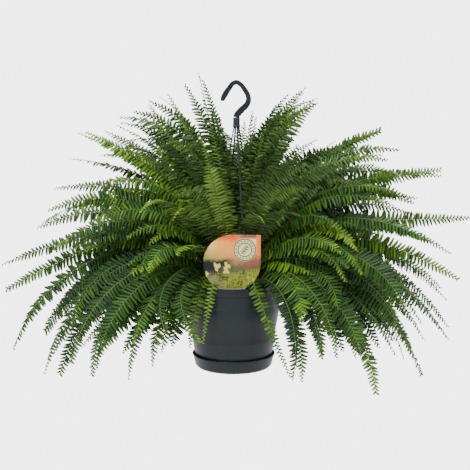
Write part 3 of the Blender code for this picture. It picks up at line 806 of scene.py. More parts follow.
def card_finish():
    """The print, worked out from the place on the card in card radii: u across and v up."""
    ink = Finish("printed_card", Specular_IOR_Level=0.2)
    x, y, z = ink.axes()
    u, v = (x - CARD_X) / CARD_RADIUS, (z - CARD_Z) / CARD_RADIUS
    soft, fine = ink.noise(45.0, 3.0, 0.6), ink.noise(240.0, 4.0, 0.65)
    grass = ink.noise(260.0, 4.0, 0.7, stretch=(1.6, 1, 0.35))

    cloud = (soft - 0.5) * 0.5
    sky = ink.blend((0.84, 0.37, 0.03), (0.90, 0.26, 0.06), (u + cloud).rise(-0.55, -0.05))
    sky = ink.blend((0.95, 0.68, 0.24), sky, (u - v * 0.4 + cloud).rise(-1.15, -0.70))
    sky = ink.blend((0.30, 0.26, 0.07), sky, (v + u * 0.3 + cloud).rise(-0.05, 0.45))
    dusk = (u - v * 0.8 + cloud).rise(-0.30, 0.45) * v.within(0.34, 0.24)
    sky = ink.blend(sky, (0.22, 0.075, 0.045), dusk)
    dusk = (u - v * 2.0 + cloud).rise(0.65, 1.15) * v.within(0.20, 0.12)
    sky = ink.blend(sky, (0.16, 0.05, 0.035), dusk)
    glow = (v + cloud * 0.6).rise(0.72, 0.92) * (u + 0.16).size().within(0.42, 0.20)
    sky = ink.blend(sky, (0.72, 0.075, 0.004), glow)
    rim_shade = v.rise(0.86, 0.93) * (u - 0.60).size().within(0.33, 0.12)
    sky = ink.blend(sky, (0.24, 0.07, 0.06), rim_shade)
    hill = v + (soft - 0.5) * 0.40 + (fine - 0.5) * 0.25
    dark = hill.within(0.14, 0.07) * (u + cloud).within(-0.05, 0.20)
    picture = ink.blend(sky, (0.008, 0.011, 0.012), dark)
    reeds = v + (grass - 0.5) * 0.8 + (u + 0.35).size() * 0.10
    reeds = reeds.within(-0.04, 0.10) * (u + cloud).rise(-0.45, -0.25)
    picture = ink.blend(picture, (0.050, 0.066, 0.034), reeds)
    shrub = v + (grass - 0.5) * 0.9 - u * 0.12
    green = ink.blend((0.045, 0.065, 0.012), (0.22, 0.26, 0.018), fine.rise(0.38, 0.60))
    green = ink.blend(green, (0.55, 0.48, 0.03), grass.rise(0.52, 0.66) * soft.within(0.55, 0.12))
    shade = soft.rise(0.52, 0.64) * fine.within(0.56, 0.08) * 0.85
    green = ink.blend(green, (0.028, 0.034, 0.010), shade)
    dry = (u + v * 0.6 + cloud * 2.0).within(-0.72, 0.15) * 0.7
    green = ink.blend(green, (0.16, 0.15, 0.08), dry)
    picture = ink.blend(picture, green, shrub.within(-0.30, 0.10))
    for across, up, size, slant in PALE_LEAVES:
        far, around = polar((u - across) / size, (v - up) / (size * 1.2))
        lobes = (around * 3.0 + slant).wave() * 0.22
        ragged = far - lobes + (grass - 0.5) * 1.1 + (fine - 0.5) * 0.9
        picture = ink.blend(picture, (0.60, 0.50, 0.09), ragged.within(0.60, 0.08))
    picture = ink.blend(picture, (0.76, 0.20, 0.015), u.rise(0.85, 0.86) * v.rise(0.27, 0.30))
    corner = (u - 0.44).rise(0.0, 0.04) * u.within(0.845, 0.01)
    corner = corner * v.rise(0.49, 0.51) * v.within(0.86, 0.01)
    picture = ink.blend(picture, (0.66, 0.60, 0.44), corner)
    seal_u, seal_v = u - SEAL[0], v - SEAL[1]
    far, turn = polar(seal_u, seal_v)
    paper = ink.blend((0.66, 0.64, 0.30), (0.60, 0.59, 0.28), far.rise(0.1, 0.35))
    picture = ink.blend(picture, paper, far.within(0.405, 0.006))
    for radius, thick in ((0.375, 0.017), (0.235, 0.016)):
        ring = (far - radius).size().within(thick, 0.004)
        picture = ink.blend(picture, (0.035, 0.050, 0.010), ring)
    dots = (turn * 17.0).wave().rise(-0.1, 0.4) * (far - 0.305).size().within(0.026, 0.006)
    picture = ink.blend(picture, (0.060, 0.080, 0.020), dots * 0.85)
    lean_u, lean_v = seal_u * 0.77 - seal_v * 0.64, seal_u * 0.64 + seal_v * 0.77
    frill = (lean_v * 70.0 - lean_u.size() * 40.0).wave().rise(-0.2, 0.3)
    sprig = lean_u.size().within(0.085, 0.01) * lean_v.size().within(0.15, 0.02) * frill
    stalk = lean_u.size().within(0.010, 0.004) * lean_v.size().within(0.17, 0.01)
    picture = ink.blend(picture, (0.025, 0.045, 0.010), (sprig + stalk).clamped() * 0.95)
    picture = ink.blend(picture, (0.40, 0.38, 0.28), v.within(-0.885, 0.012) * 0.7)
    bare_card = y.rise(card_low.y + 0.0001, card_low.y + 0.0003)
    picture = ink.blend(picture, (0.74, 0.72, 0.64), bare_card)
    ink.give("Base Color", ink.blend(picture, (0.02, 0.02, 0.01), fine.rise(0.62, 0.80) * 0.25))
    ink.give("Roughness", 0.45 + soft * 0.15)
    ink.bump(ink.noise(900.0, 2.0, 0.5), 0.05, 0.0003)
    return ink.material


card.data.materials.clear()
card.data.materials.append(card_finish())


# ----------------------------------------------------------------------
# Fronds: long arching leaves, each a wiry midrib with two rows of close-set, slightly sickle-
# shaped leaflets, eared at the base. The main ones grow along the middle lines of their solids.
LEAFLET_PITCH = 0.0074  # from one pair to the next
LEAFLET_WIDTH = 0.0078
MIDRIB_RADIUS = 0.0011
LEAFLET_STATIONS = 8
GLOW_SHARE = 0.16  # of the light that comes through a leaflet
FACING_SHARE = (0.15, 1.0)  # of the way that a blade turns on its midrib to face the front
FRONT = np.array([0.0, -0.94, 0.34])
TWIST = (-0.7, 0.7)  # radians between a blade's base and its tip
BLUNTNESS = (0.45, 0.95)  # how broad a blade stays towards its tip: 1 tapers as the solid does
TAPER = (0.24, 0.62)  # share of a blade over which it narrows to its tip


def leaf_finish():
    """Leaf green that varies from leaflet to leaflet: blue-green when old, yellow-green when young,
    paler underneath, with a sunken vein along each leaflet and a tan midrib."""
    leaf = Finish("fern_leaf", Specular_IOR_Level=0.32)
    traits = ("tone", "youth", "share", "across", "under", "stem", "crosswise")
    tone, youth, share, across, under, stem, crosswise = (leaf.trait(name) for name in traits)
    mottle = leaf.noise(240.0, 3.0, 0.6)
    cloud = leaf.noise(24.0, 2.0, 0.5)
    fresh = youth + share.rise(0.80, 1.0) * 0.25 + (tone - 0.5) * 0.30 + (cloud - 0.5) * 0.5
    green = leaf.node("ShaderNodeValToRGB", sockets={"Fac": fresh.clamped()}, stops=[
        (0.00, (0.009, 0.034, 0.016)),
        (0.28, (0.016, 0.058, 0.007)),
        (0.52, (0.038, 0.115, 0.006)),
        (0.76, (0.145, 0.285, 0.014)),
        (1.00, (0.270, 0.440, 0.025)),
    ])
    green = leaf.blend(green, (0.006, 0.022, 0.005), mottle.rise(0.5, 0.8) * 0.35)
    green = leaf.blend(green, (0.12, 0.20, 0.035), crosswise.size().rise(0.82, 1.0) * 0.25)
    green = leaf.blend(green, (0.16, 0.20, 0.05), across.rise(0.85, 1.0) * 0.25)
    green = leaf.blend(green, leaf.blend(green, (0.100, 0.165, 0.060), 0.50), under)
    rib = leaf.blend((0.085, 0.055, 0.020), (0.105, 0.150, 0.030), share.rise(0.05, 0.5))
    leaf.give("Base Color", leaf.blend(green, rib, stem))
    leaf.give("Roughness", 0.36 + under * 0.22 + mottle * 0.16)
    leaf.bump(mottle * 0.4 + crosswise.size().rise(0.0, 0.14) * 0.6, 0.6, 0.0005)
    glow = leaf.node("ShaderNodeBsdfTranslucent", sockets={"Color": (0.20, 0.38, 0.03)})
    leaf.cover(GLOW_SHARE, glow)
    return leaf.material


def leaflet(name, hand):
    """One leaflet, 1 long and 1 wide: sickle-shaped, with an ear at its base and a toothed edge.
    hand is +1 where the frond's tip lies to its left."""
    bm = bmesh.new()
    across = bm.verts.layers.float.new("across")
    crosswise = bm.verts.layers.float.new("crosswise")
    under = bm.faces.layers.float.new("under")
    rings = []
    for i in range(LEAFLET_STATIONS):
        along = i / (LEAFLET_STATIONS - 1)
        half = 0.5 * (1 - along**4.2) ** 0.55 * (0.88 + 0.12 * math.cos(3 * along))
        half += (0.03 if i % 2 else -0.02) * (1 - along)
        half = 0.32 if i == 0 else max(half, 0.03)
        ear = 0.16 * math.exp(-((along / 0.12) ** 2))
        sickle = hand * (0.26 * along**2 - 0.04)
        ring = []
        for side, lift in ((1, -0.07), (0, 0.05), (-1, -0.07), (0, -0.02)):
            reach = half + (ear if side == hand else 0)
            vert = bm.verts.new((along, sickle + side * reach, lift - 0.10 * along**2))
            vert[across] = along
            vert[crosswise] = side
            ring.append(vert)
        rings.append(ring)
    for first, second in zip(rings, rings[1:]):
        for j in range(4):
            k = (j + 1) % 4
            face = bm.faces.new((first[j], second[j], second[k], first[k]))
            face[under] = 1.0 if j >= 2 else 0.0
    bm.faces.new(rings[0])
    bm.faces.new(rings[-1][::-1])
    bmesh.ops.recalc_face_normals(bm, faces=bm.faces)
    for face in bm.faces:
        face.smooth = True
    return solid_of(name, bm)


def frond_tree():
    """Sets a leaflet on each side of every point of a midrib, and thickens the midrib itself."""
    pinnate = Branch("fronds")
    spine = pinnate.input("Geometry", "Geometry")
    shapes = {
        1: pinnate.input("Left leaflet", "Object"),
        -1: pinnate.input("Right leaflet", "Object"),
    }
    lean = pinnate.input("Lean to tip", "Float", 10.0)
    hang = pinnate.input("Hang", "Float", 12.0)
    unrest = pinnate.input("Unrest", "Float", 9.0)
    stem_radius = pinnate.input("Midrib radius", "Float", MIDRIB_RADIUS)
    rows = pinnate.input("Rows on the map", "Float", 1.0)
    finish = pinnate.input("Material", "Material")

    side, along = (pinnate.trait(name, "FLOAT_VECTOR") for name in ("side", "along"))
    span, wide, share = (pinnate.trait(name) for name in ("span", "wide", "share"))
    sockets = {0: along, 1: side}
    normal = pinnate.node("ShaderNodeVectorMath", {"operation": "CROSS_PRODUCT"}, sockets)
    keep = pinnate.node("FunctionNodeCompare", {"operation": "GREATER_THAN"}, {0: span, 1: 0.0025})
    degree = math.pi / 180
    parts = []
    for hand, shape in shapes.items():
        seed = 11 if hand > 0 else 47
        axes = {"primary_axis": "X", "secondary_axis": "Z"}
        sockets = {"Primary Axis": pinnate.scaled(side, float(hand)), "Secondary Axis": normal}
        turn = pinnate.node("FunctionNodeAxesToRotation", axes, sockets)
        roll, pitch, yaw = (pinnate.chance(-1.0, 1.0, seed + k) * unrest for k in range(3))
        tipward = share**3.0 * 34.0
        yaw = (yaw + lean + tipward) * (-hand * degree)
        turn = pinnate.turned(turn, roll * (degree * 1.8), (pitch + hang) * degree, yaw)
        size = pinnate.node("ShaderNodeCombineXYZ", None, {0: span, 1: wide, 2: wide})
        size = pinnate.scaled(size, pinnate.chance(0.88, 1.06, seed + 5))
        sockets = {"Geometry": spine, "Offset": pinnate.scaled(along, hand * LEAFLET_PITCH / 4)}
        points = pinnate.node("GeometryNodeSetPosition", None, sockets)
        sockets = {"Mesh": points, "Selection": keep}
        points = pinnate.node("GeometryNodeMeshToPoints", {"mode": "VERTICES"}, sockets)
        source = pinnate.node("GeometryNodeObjectInfo", None, {"Object": shape}, out="Geometry")
        leaves = pinnate.copies(points, source, turn, size)
        tone = pinnate.chance(0.0, 1.0, seed + 9)
        leaves = pinnate.store(leaves, "tone", tone, domain="INSTANCE")
        leaves = pinnate.store(leaves, "hand", float(hand), domain="INSTANCE")
        parts.append(pinnate.realized(leaves))

    line = pinnate.node("GeometryNodeMeshToCurve", None, {"Mesh": spine})
    radius = pinnate.trait("stout") * stem_radius
    sockets = {"Resolution": 6, "Radius": 1.0}
    circle = pinnate.node("GeometryNodeCurvePrimitiveCircle", None, sockets)
    sockets = {"Curve": line, "Profile Curve": circle, "Scale": radius, "Fill Caps": True}
    rib = pinnate.node("GeometryNodeCurveToMesh", None, sockets)
    rib = pinnate.store(rib, "stem", 1.0)
    parts.append(pinnate.node("GeometryNodeSetShadeSmooth", None, {"Geometry": rib}))

    # the map: along the frond one way, across it the other, and the undersides in rows of their own
    across = pinnate.trait("across") * pinnate.trait("hand")
    level = pinnate.trait("under") * -0.5 + 0.75 + across * 0.22 + pinnate.trait("row")
    forward = share * 0.97 + 0.015 + pinnate.trait("crosswise") * 0.006
    place = pinnate.node("ShaderNodeCombineXYZ", None, {0: forward, 1: level / rows, 2: 0.0})
    mapped = pinnate.store(pinnate.joined(*parts), "OFBake", place, "FLOAT2", "CORNER")
    return pinnate.finish(mapped, finish)


def midrib_of(node, bluntness):
    """The line of a frond's solid from base to tip: points, side directions and half widths."""
    mesh = bmesh.new()
    mesh.from_mesh(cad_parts[node].data)
    bmesh.ops.remove_doubles(mesh, verts=mesh.verts, dist=1e-5)
    centre = Vector((AXIS_X, 0, pot_high.z))
    base = min(mesh.verts, key=lambda vert: (vert.co - centre).length)
    tip = max(mesh.verts, key=lambda vert: (vert.co - base.co).length)
    ring = {vert for vert in mesh.verts if (vert.co - tip.co).length < 0.010}
    seen = set(ring)
    rings = []
    while ring:
        rings.append(np.array([vert.co for vert in ring]))
        ring = {edge.other_vert(vert) for vert in ring for edge in vert.link_edges} - seen
        seen |= ring
    mesh.free()
    points, sides, halves = [], [], []
    for corners in rings[::-1]:
        gaps = corners[:, None] - corners[None]
        far = np.unravel_index(np.argmax((gaps**2).sum(2)), gaps.shape[:2])
        reach = gaps[far]
        points.append((corners[far[0]] + corners[far[1]]) / 2)
        sides.append(reach / np.linalg.norm(reach))
        halves.append(np.linalg.norm(reach) / 2)
    halves = np.array(halves)
    widest = int(np.argmax(halves))
    halves[widest:] = halves[widest] * (halves[widest:] / halves[widest]) ** bluntness
    return np.array(points), np.array(sides), 1.12 * halves


def spine_rows(points, sides, halves, facing, twist=0.0):
    """A midrib with one row for each pair of leaflets, turned so that the upper face is up, and
    then part of the way to the front, the more so the less the frond itself leans back."""
    steps = np.linalg.norm(np.diff(points, axis=0), axis=1)
    shares = np.concatenate([[0], np.cumsum(steps)]) / steps.sum()
    for i in range(1, len(sides)):
        if sides[i] @ sides[i - 1] < 0:
            sides[i] = -sides[i]
    wanted = np.linspace(0, 1, max(8, int(steps.sum() / LEAFLET_PITCH)))
    line = smooth_line(points, shares, wanted)
    side = smooth_line(sides, shares, wanted)
    half = smooth_line(halves[:, None], shares, wanted)[:, 0]
    along = np.gradient(line, axis=0)
    along /= np.linalg.norm(along, axis=1)[:, None]
    side -= along * (side * along).sum(1)[:, None]
    side /= np.linalg.norm(side, axis=1)[:, None]
    upper = np.cross(along, side)
    if upper[np.argmax(np.abs(upper[:, 2])), 2] < 0:
        side = -side
    midway = len(line) * 3 // 5
    axis, upper = along[midway], np.cross(along[midway], side[midway])
    front = FRONT - axis * (FRONT @ axis)
    turn = math.atan2(np.cross(upper, front) @ axis, upper @ front)
    turn = (turn + math.pi / 2) % math.pi - math.pi / 2
    turn *= facing * float(np.clip(1.0 - 2.2 * line[-1][1], 0.25, 1.0))
    turn = (turn * np.minimum(1, 2 * wanted) + twist * wanted**2)[:, None]
    side = side * np.cos(turn) + np.cross(along, side) * np.sin(turn)
    return line, along, side, half, wanted


def spine_mesh(name, spines):
    """The midribs of several fronds as points and edges, with all that the leaflets need."""
    mesh = bpy.data.meshes.new(name)
    starts = np.cumsum([0] + [len(spine[0][0]) for spine in spines])
    edges = [(i, i + 1) for start, end in zip(starts, starts[1:]) for i in range(start, end - 1)]
    mesh.from_pydata(np.concatenate([spine[0][0] for spine in spines]), edges, [])
    traits = {"span": [], "wide": [], "share": [], "stout": [], "youth": [], "row": []}
    for row, ((line, along, side, half, share), youth) in enumerate(spines):
        traits["span"].append(np.where(half > 0.0024, half, 0))
        traits["wide"].append(LEAFLET_WIDTH * np.clip(0.45 + 0.55 * half / 0.025, 0.4, 1.1))
        traits["share"].append(share)
        traits["stout"].append(1.5 - 1.15 * share**0.7)
        traits["youth"].append(np.full(len(share), youth))
        traits["row"].append(np.full(len(share), float(row)))
    for trait, values in traits.items():
        values = np.concatenate(values)
        mesh.attributes.new(trait, "FLOAT", "POINT").data.foreach_set("value", values)
    for trait, place in (("along", 1), ("side", 2)):
        vectors = np.concatenate([spine[0][place] for spine in spines]).ravel()
        mesh.attributes.new(trait, "FLOAT_VECTOR", "POINT").data.foreach_set("vector", vectors)
    return mesh


leaf_material = leaf_finish()
leaf_tree = frond_tree()
leaf_shapes = {
    "Right leaflet": leaflet("right_leaflet", -1),
    "Left leaflet": leaflet("left_leaflet", 1),
}


def leafy(name, spines):
    """Fronds along their midribs, as one finished mesh that moves with the pot."""
    sizes = {"Material": leaf_material, "Rows on the map": float(len(spines)), **leaf_shapes}
    piece = grow(bpy.data.objects.new(name, spine_mesh(name, spines)), leaf_tree, sizes)
    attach(piece, "root")
    return piece


luck = np.random.default_rng(7)
for node in sorted(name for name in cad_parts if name.startswith("frond_")):
    points, sides, halves = midrib_of(node, luck.uniform(*BLUNTNESS))
    height = points[-1][2] - FOOT_Z
    youth = float(np.clip(0.30 + 0.6 * height + luck.normal(0, 0.14), 0.05, 0.9))
    rows = spine_rows(points, sides, halves, luck.uniform(*FACING_SHARE), luck.uniform(*TWIST))
    piece = leafy("leafy_" + node, [(rows, youth)])
    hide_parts(node)


# ----------------------------------------------------------------------
# The rest of the plant's fronds, which fill it out between the main ones: shorter, younger and
# steeper towards the middle.
SPRING_RADIUS = 0.060  # the flattest ones leave the crown this far from the axis
# Azimuth round from the front, reach of the tip from the axis and its height above the saucer's
# foot in mm, slope as it leaves the crown, slope at the tip, width in mm, turn of the face towards
# the front, drift in azimuth before the tip, and youth in per cent.
IN_UNITS = np.array([1, 1000, 1000, 1, 1, 1000, 1, 1, 100])
FILLING = (
    # left side
    (-96, 415, 297, 62, -24, 48, 25, 4, 45), (84, 380, 363, 62, -14, 48, 25, 4, 40),
    (-84, 383, 348, 66, -20, 46, 25, 6, 50), (-104, 390, 374, 66, -10, 48, 20, 4, 40),
    (-92, 336, 447, 72, 6, 46, 25, 6, 55), (-64, 300, 405, 74, -14, 46, 25, -6, 50),
    (-80, 305, 505, 76, 26, 44, 20, 5, 60), (-110, 295, 495, 74, 22, 44, 20, 0, 40),
    (-72, 187, 545, 80, 46, 42, 10, 4, 55), (-125, 260, 505, 76, 26, 44, 10, 0, 40),
    (-100, 135, 575, 82, 60, 40, 0, 4, 60), (-40, 115, 500, 84, 58, 38, 0, 4, 75),
    (-50, 240, 239, 62, -58, 46, 10, 6, 50), (-70, 236, 187, 58, -66, 46, 15, 10, 55),
    (-48, 195, 340, 76, -40, 44, 0, 10, 70), (-20, 137, 440, 80, 30, 50, 0, -4, 85),
    (-150, 93, 537, 84, 70, 40, 0, 0, 50), (-54, 350, 60, 52, -76, 50, 10, 4, 40),
    (-50, 290, 30, 50, -80, 48, 0, 4, 35), (-52, 228, 45, 48, -82, 44, 0, 6, 60),
    (52, 346, 84, 52, -62, 50, 20, -6, 30), (64, 347, 85, 50, -60, 50, 20, 8, 30),
    (66, 357, 397, 64, -12, 50, 20, -4, 45), (-74, 350, 150, 56, -60, 50, 20, 6, 30),
    (46, 322, 87, 52, -68, 48, 20, -8, 35), (-80, 300, 110, 48, -66, 48, 15, 8, 25),
    (-106, 330, 130, 48, -60, 48, 15, 6, 25), (-90, 260, 300, 70, -20, 44, 20, 6, 55),
    (-112, 300, 330, 66, -16, 46, 15, 0, 40), (-76, 235, 390, 76, 4, 42, 15, 8, 65),
    # right side
    (60, 45, 545, 87, 80, 36, 0, 0, 55), (150, 96, 525, 84, 70, 38, 0, 0, 50),
    (100, 148, 560, 82, 30, 42, 10, 0, 60), (75, 172, 560, 82, 20, 42, 15, 4, 60),
    (52, 215, 495, 78, 24, 42, 10, -4, 55), (86, 299, 500, 74, 18, 46, 20, 4, 50),
    (62, 320, 465, 72, 4, 46, 20, 4, 50), (80, 425, 415, 66, -4, 48, 25, 2, 45),
    (68, 430, 300, 62, -24, 50, 25, -4, 35), (98, 465, 239, 58, -34, 50, 25, -4, 35),
    (104, 470, 130, 52, -50, 50, 20, -6, 30), (60, 400, 182, 58, -54, 50, 20, -4, 30),
    (96, 369, 10, 44, -76, 48, 15, -4, 35), (50, 206, 10, 44, -84, 44, 0, -8, 50),
    (52, 295, 225, 62, -56, 48, 10, -4, 50), (60, 275, 295, 68, -36, 46, 15, 0, 60),
    (47, 210, 400, 78, 0, 44, 0, -4, 70), (30, 150, 330, 80, -30, 40, 0, -6, 75),
    (86, 440, 170, 56, -46, 50, 20, 4, 30), (78, 400, 120, 52, -58, 50, 20, -4, 25),
    (92, 360, 190, 58, -46, 48, 20, 6, 45), (70, 340, 110, 48, -66, 50, 15, 4, 25),
    (84, 310, 70, 44, -72, 48, 15, -6, 25), (64, 290, 60, 48, -76, 48, 10, -6, 30),
    (52, 260, 140, 56, -72, 46, 0, -8, 45), (100, 310, 310, 66, -16, 46, 20, 0, 40),
    (84, 250, 390, 74, 0, 44, 20, 6, 60), (70, 230, 300, 72, -26, 44, 10, -6, 60),
    (112, 330, 420, 68, 4, 46, 15, 0, 40), (95, 215, 470, 78, 26, 42, 15, 0, 55),
    # middle
    (-62, 48, 541, 86, 82, 50, 0, 0, 35), (52, 162, 480, 80, 50, 56, 0, 0, 50),
    (64, 123, 533, 82, 60, 52, 0, 0, 45), (40, 90, 496, 86, 74, 46, 0, 0, 55),
    (34, 158, 395, 80, 40, 46, 0, 0, 55), (-60, 126, 534, 80, 52, 52, 0, 0, 50),
    (-44, 127, 471, 80, 50, 50, 0, 0, 40), (-38, 185, 385, 78, -20, 46, 0, 0, 75),
    (110, 77, 524, 84, 70, 48, 0, 0, 35), (170, 60, 505, 84, 72, 48, 0, 0, 25),
    (-158, 75, 520, 84, 70, 48, 0, 0, 30), (138, 65, 495, 84, 70, 48, 0, 0, 25),
    (-128, 60, 500, 84, 72, 48, 0, 0, 30), (42, 197, 347, 74, -10, 50, 0, 0, 50),
    # further out
    (-102, 247, 529, 66, -2, 50, 0, 0, 40), (-84, 203, 543, 70, 10, 48, 0, 0, 45),
    (-76, 176, 567, 74, 24, 46, 0, 0, 45), (-112, 167, 570, 74, 30, 46, 0, 0, 30),
    (-64, 108, 598, 80, 56, 46, 0, 0, 40), (-100, 63, 604, 83, 70, 48, 0, 0, 35),
    (-66, 232, 492, 68, -8, 50, 0, 0, 35), (-92, 255, 462, 64, -16, 50, 0, 0, 25),
    (82, 109, 576, 80, 50, 46, 0, 0, 45), (68, 145, 586, 78, 44, 46, 0, 0, 50),
    (94, 164, 562, 74, 32, 48, 0, 0, 35), (120, 119, 547, 78, 50, 46, 0, 0, 30),
    (62, 254, 474, 70, -2, 50, 0, 0, 40), (84, 317, 445, 64, -12, 50, 0, 0, 40),
    (72, 355, 421, 62, -20, 50, 0, 0, 35), (98, 352, 368, 60, -24, 50, 0, 0, 30),
    (54, 331, 438, 66, -16, 50, 0, 0, 45), (86, 373, 355, 58, -30, 50, 0, 0, 35),
    (104, 309, 356, 62, -20, 50, 0, 0, 20), (76, 343, 471, 66, -6, 48, 0, 0, 40),
    (42, 262, 75, 50, -78, 48, 0, 0, 35), (58, 260, 69, 48, -72, 50, 0, 0, 20),
    (50, 311, 97, 52, -70, 50, 0, 0, 30), (70, 316, 69, 50, -64, 50, 0, 0, 15),
    (82, 361, 97, 52, -56, 50, 0, 0, 20), (62, 367, 143, 54, -58, 50, 0, 0, 20),
    (-46, 202, 69, 48, -78, 46, 0, 0, 40), (-84, 397, 104, 52, -56, 48, 0, 0, 25),
    (-62, 146, 63, 46, -76, 46, 0, 0, 30), (74, 297, 393, 62, -20, 52, 20, 0, 40),
    (86, 335, 373, 60, -22, 52, 20, 0, 35), (64, 264, 405, 66, -16, 52, 20, 0, 30),
    (92, 314, 348, 58, -30, 52, 20, 0, 20), (72, 353, 149, 54, -56, 50, 20, 0, 20),
    (60, 268, 84, 50, -70, 50, 20, 0, 25),
    # back
    (-140, 300, 400, 68, -6, 46, 0, 0, 40), (-160, 330, 330, 64, -26, 48, 0, 6, 40),
    (180, 300, 420, 70, -6, 46, 0, 0, 45), (158, 280, 450, 72, 6, 46, 0, 0, 45),
    (140, 320, 400, 68, -6, 46, 0, 4, 40), (124, 300, 460, 72, 10, 46, 10, 0, 45),
    (-120, 220, 470, 76, 24, 44, 0, 0, 50), (-165, 200, 480, 78, 30, 44, 0, 0, 50),
    (172, 180, 510, 80, 46, 42, 0, 0, 50), (130, 180, 500, 80, 46, 42, 0, 0, 50),
    (-144, 380, 190, 56, -44, 50, 0, 6, 35), (-160, 360, 150, 54, -52, 50, 0, 0, 35),
    (-178, 400, 180, 56, -46, 50, 0, 4, 35), (162, 370, 160, 54, -52, 50, 0, 0, 35),
    (148, 380, 190, 56, -44, 50, 0, 4, 35), (134, 370, 160, 54, -52, 50, 0, 0, 35),
    (-128, 360, 150, 52, -52, 50, 0, 0, 35),
)
# a last few that close gaps in the outline, in the same columns
LATE_FRONDS = (
    (120, 185, 588, 78, 44, 48, 0, 4, 45), (64, 189, 563, 77, 36, 48, 0, -6, 50),
    (64, 123, 525, 82, 56, 46, 0, 8, 55), (112, 134, 527, 80, 50, 46, 0, 0, 35),
    (-110, 242, 516, 70, 8, 48, 0, 6, 40), (-92, 281, 449, 66, -8, 48, 0, -6, 45),
    (58, 346, 368, 62, -22, 50, 10, 6, 40), (98, 384, 324, 60, -20, 50, 10, -6, 35),
    (66, 377, 124, 54, -58, 50, 10, 8, 30), (80, 437, 112, 52, -52, 50, 10, -6, 30),
    (56, 330, 52, 52, -64, 50, 10, 4, 30), (64, 372, 72, 50, -58, 50, 10, -4, 30),
)


def arching_spine(azimuth, reach, tip, launch, slope, width, turn, drift, taper, rise=0.42):
    """The midrib of a frond that rises from the crown and arches over to its tip."""
    launch, slope = math.radians(launch), math.radians(slope)
    base = np.array([SPRING_RADIUS * math.cos(launch), crown_high.z - 0.001 - FOOT_Z])
    end = np.array([reach, tip])
    hold = rise * np.linalg.norm(end - base)
    first = base + hold * np.array([math.cos(launch), math.sin(launch)])
    second = end - hold * np.array([math.cos(slope), math.sin(slope)])
    u = np.linspace(0, 1, 13)
    t = u[:, None]
    flat = base * (1 - t) ** 3 + first * 3 * t * (1 - t) ** 2
    flat = flat + second * 3 * t**2 * (1 - t) + end * t**3
    way = np.radians(azimuth + drift * u**2)
    out, up = flat.T
    points = np.stack([AXIS_X + out * np.sin(way), -out * np.cos(way), FOOT_Z + up], 1)
    along = np.gradient(points, axis=0)
    along /= np.linalg.norm(along, axis=1)[:, None]
    way = np.radians(azimuth + drift * u)
    level = np.stack([np.cos(way), np.sin(way), np.zeros(len(u))], 1)
    level -= along * (level * along).sum(1)[:, None]
    level /= np.linalg.norm(level, axis=1)[:, None]
    tilt = (np.radians(turn) * math.copysign(1, azimuth) * np.minimum(1, 2 * u))[:, None]
    sides = level * np.cos(tilt) + np.cross(along, level) * np.sin(tilt)
    swell = np.clip((u - 0.08) / 0.40, 0, 1)
    fade = np.minimum(1, (1 - u) / taper)
    shape = np.sin(math.pi / 2 * swell) * (0.12 + 0.88 * np.sin(math.pi / 2 * fade))
    return points, sides, (0.0034 + (width - 0.0034) * shape) / 2


def spread_at(azimuth):
    """How far the plant reaches at an azimuth: widest at its sides, least at the front."""
    way = math.radians(azimuth)
    deep = 0.255 if math.cos(way) > 0 else 0.385
    return 1 / math.hypot(math.sin(way) / 0.445, math.cos(way) / deep)


# Three tiers set by the golden angle: share of the spread, tip height, launch, tip slope, width.
TIERS = (
    ((0.74, 0.95), (0.05, 0.17), (46, 56), (-68, -50), (0.050, 0.058)),
    ((0.60, 0.86), (0.20, 0.36), (58, 68), (-42, -16), (0.048, 0.056)),
    ((0.20, 0.62), (0.36, 0.52), (72, 80), (-10, 34), (0.044, 0.052)),
)
TIER_FRONDS = 120
CLEAR_OF_CARD = 46  # degrees either side of the front that they leave free

scattered = []
for k in range(TIER_FRONDS):
    tier = TIERS[k % 3]
    azimuth = (k * 137.508) % 360 - 180
    share, tip, launch, slope, width = (luck.uniform(*span) for span in tier)
    if abs(azimuth) < CLEAR_OF_CARD:
        azimuth = math.copysign(CLEAR_OF_CARD + 0.5 * abs(azimuth), azimuth)
    reach = share * spread_at(azimuth)
    youth = float(np.clip(0.28 + 0.7 * tip + luck.normal(0, 0.13), 0.05, 0.95))
    drift = luck.uniform(-16, 16)
    scattered.append((azimuth, reach, tip, launch, slope, width, 0, drift, youth))

# the broad young frond that stands up in front, still blunt at its tip
young = arching_spine(-22, 0.132, 0.444, 84, 62, 0.044, 0, 0, taper=0.05)
leafy("young_front_frond", [(spine_rows(*young, 1.0), 1.0)])

# Three that hang over the rim beside the card, close to the pot: azimuth, reach, tip height,
# launch, slope at the tip, width, drift, taper, how high it rises first, and youth.
OVER_THE_RIM = (
    (-22, 0.129, 0.079, 60, -86, 0.026, -7, 0.50, 0.74, 0.70),
    (-36, 0.131, 0.065, 62, -86, 0.036, -8, 0.30, 0.74, 0.60),
    (21, 0.179, 0.014, 62, -72, 0.040, 19, 0.75, 0.54, 0.55),
)
over_rim = []
for azimuth, reach, tip, launch, slope, width, drift, taper, rise, youth in OVER_THE_RIM:
    line = arching_spine(azimuth, reach, tip, launch, slope, width, 0, drift, taper, rise)
    over_rim.append((spine_rows(*line, 1.0), youth))
leafy("fronds_over_the_rim", over_rim)

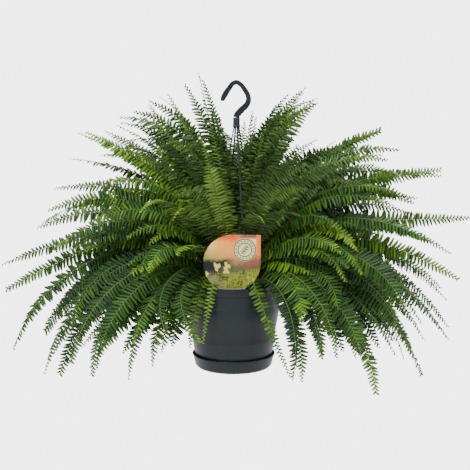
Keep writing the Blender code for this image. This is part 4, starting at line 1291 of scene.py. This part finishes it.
FRONDS_TO_A_PIECE = 13
SPREAD_OF_BLADES = 0.005  # leaflets stand this much beyond the widths above
everything = [*(FILLING / IN_UNITS), *scattered, *(LATE_FRONDS / IN_UNITS)]
for number, first in enumerate(range(0, len(everything), FRONDS_TO_A_PIECE), 1):
    spines = []
    for *course, width, turn, drift, youth in everything[first : first + FRONDS_TO_A_PIECE]:
        taper = luck.uniform(*TAPER)
        line = arching_spine(*course, width + SPREAD_OF_BLADES, turn, drift, taper)
        spines.append((spine_rows(*line, luck.uniform(*FACING_SHARE), luck.uniform(*TWIST)), youth))
    leafy(f"filling_fronds_{number}", spines)


# ----------------------------------------------------------------------
# A plain pale studio: a floor well below the hanging plant, a bright soft sky and large lamps.
FLOOR_DROP = 0.35
SKY_STRENGTH = 0.8
SEEN_STRENGTH = 4.5  # of the sky and the floor where they are looked at directly: paper white

bm = bmesh.new()
bmesh.ops.create_grid(bm, x_segments=1, y_segments=1, size=20)
bmesh.ops.translate(bm, verts=bm.verts, vec=(0, 0, FOOT_Z - FLOOR_DROP))
floor = put(solid_of("floor", bm))
paper = Finish("floor", Base_Color=(0.95, 0.95, 0.95), Roughness=0.9)
sheet = paper.node("ShaderNodeEmission", sockets={"Strength": SEEN_STRENGTH})
paper.cover(paper.node("ShaderNodeLightPath"), sheet)
floor.data.materials.append(paper.material)

world = bpy.data.worlds.new("studio")
bpy.context.scene.world = world
world.use_nodes = True
sky = world.node_tree.nodes["Background"]
sky.inputs["Color"].default_value = (1, 1, 1, 1)
path = world.node_tree.nodes.new("ShaderNodeLightPath")
seen = Wire(world.node_tree, path.outputs["Is Camera Ray"])
strength = seen * (SEEN_STRENGTH - SKY_STRENGTH) + SKY_STRENGTH
world.node_tree.links.new(strength.socket, sky.inputs["Strength"])

for name, place, size, power in (
    ("key", (-1.0, -1.8, 2.3), 0.7, 134),
    ("fill", (2.0, -1.8, 0.9), 1.4, 14),
    ("top", (0.2, 0.3, 2.2), 1.2, 60),
    ("back", (0.7, 2.3, 1.5), 1.4, 40),
):
    lamp = put(bpy.data.objects.new(name, bpy.data.lights.new(name, "AREA")))
    lamp.data.size = size
    lamp.data.energy = power
    lamp.location = place
    aim = Vector((0, 0, -0.3)) - Vector(place)
    lamp.rotation_euler = aim.to_track_quat("-Z", "Y").to_euler()
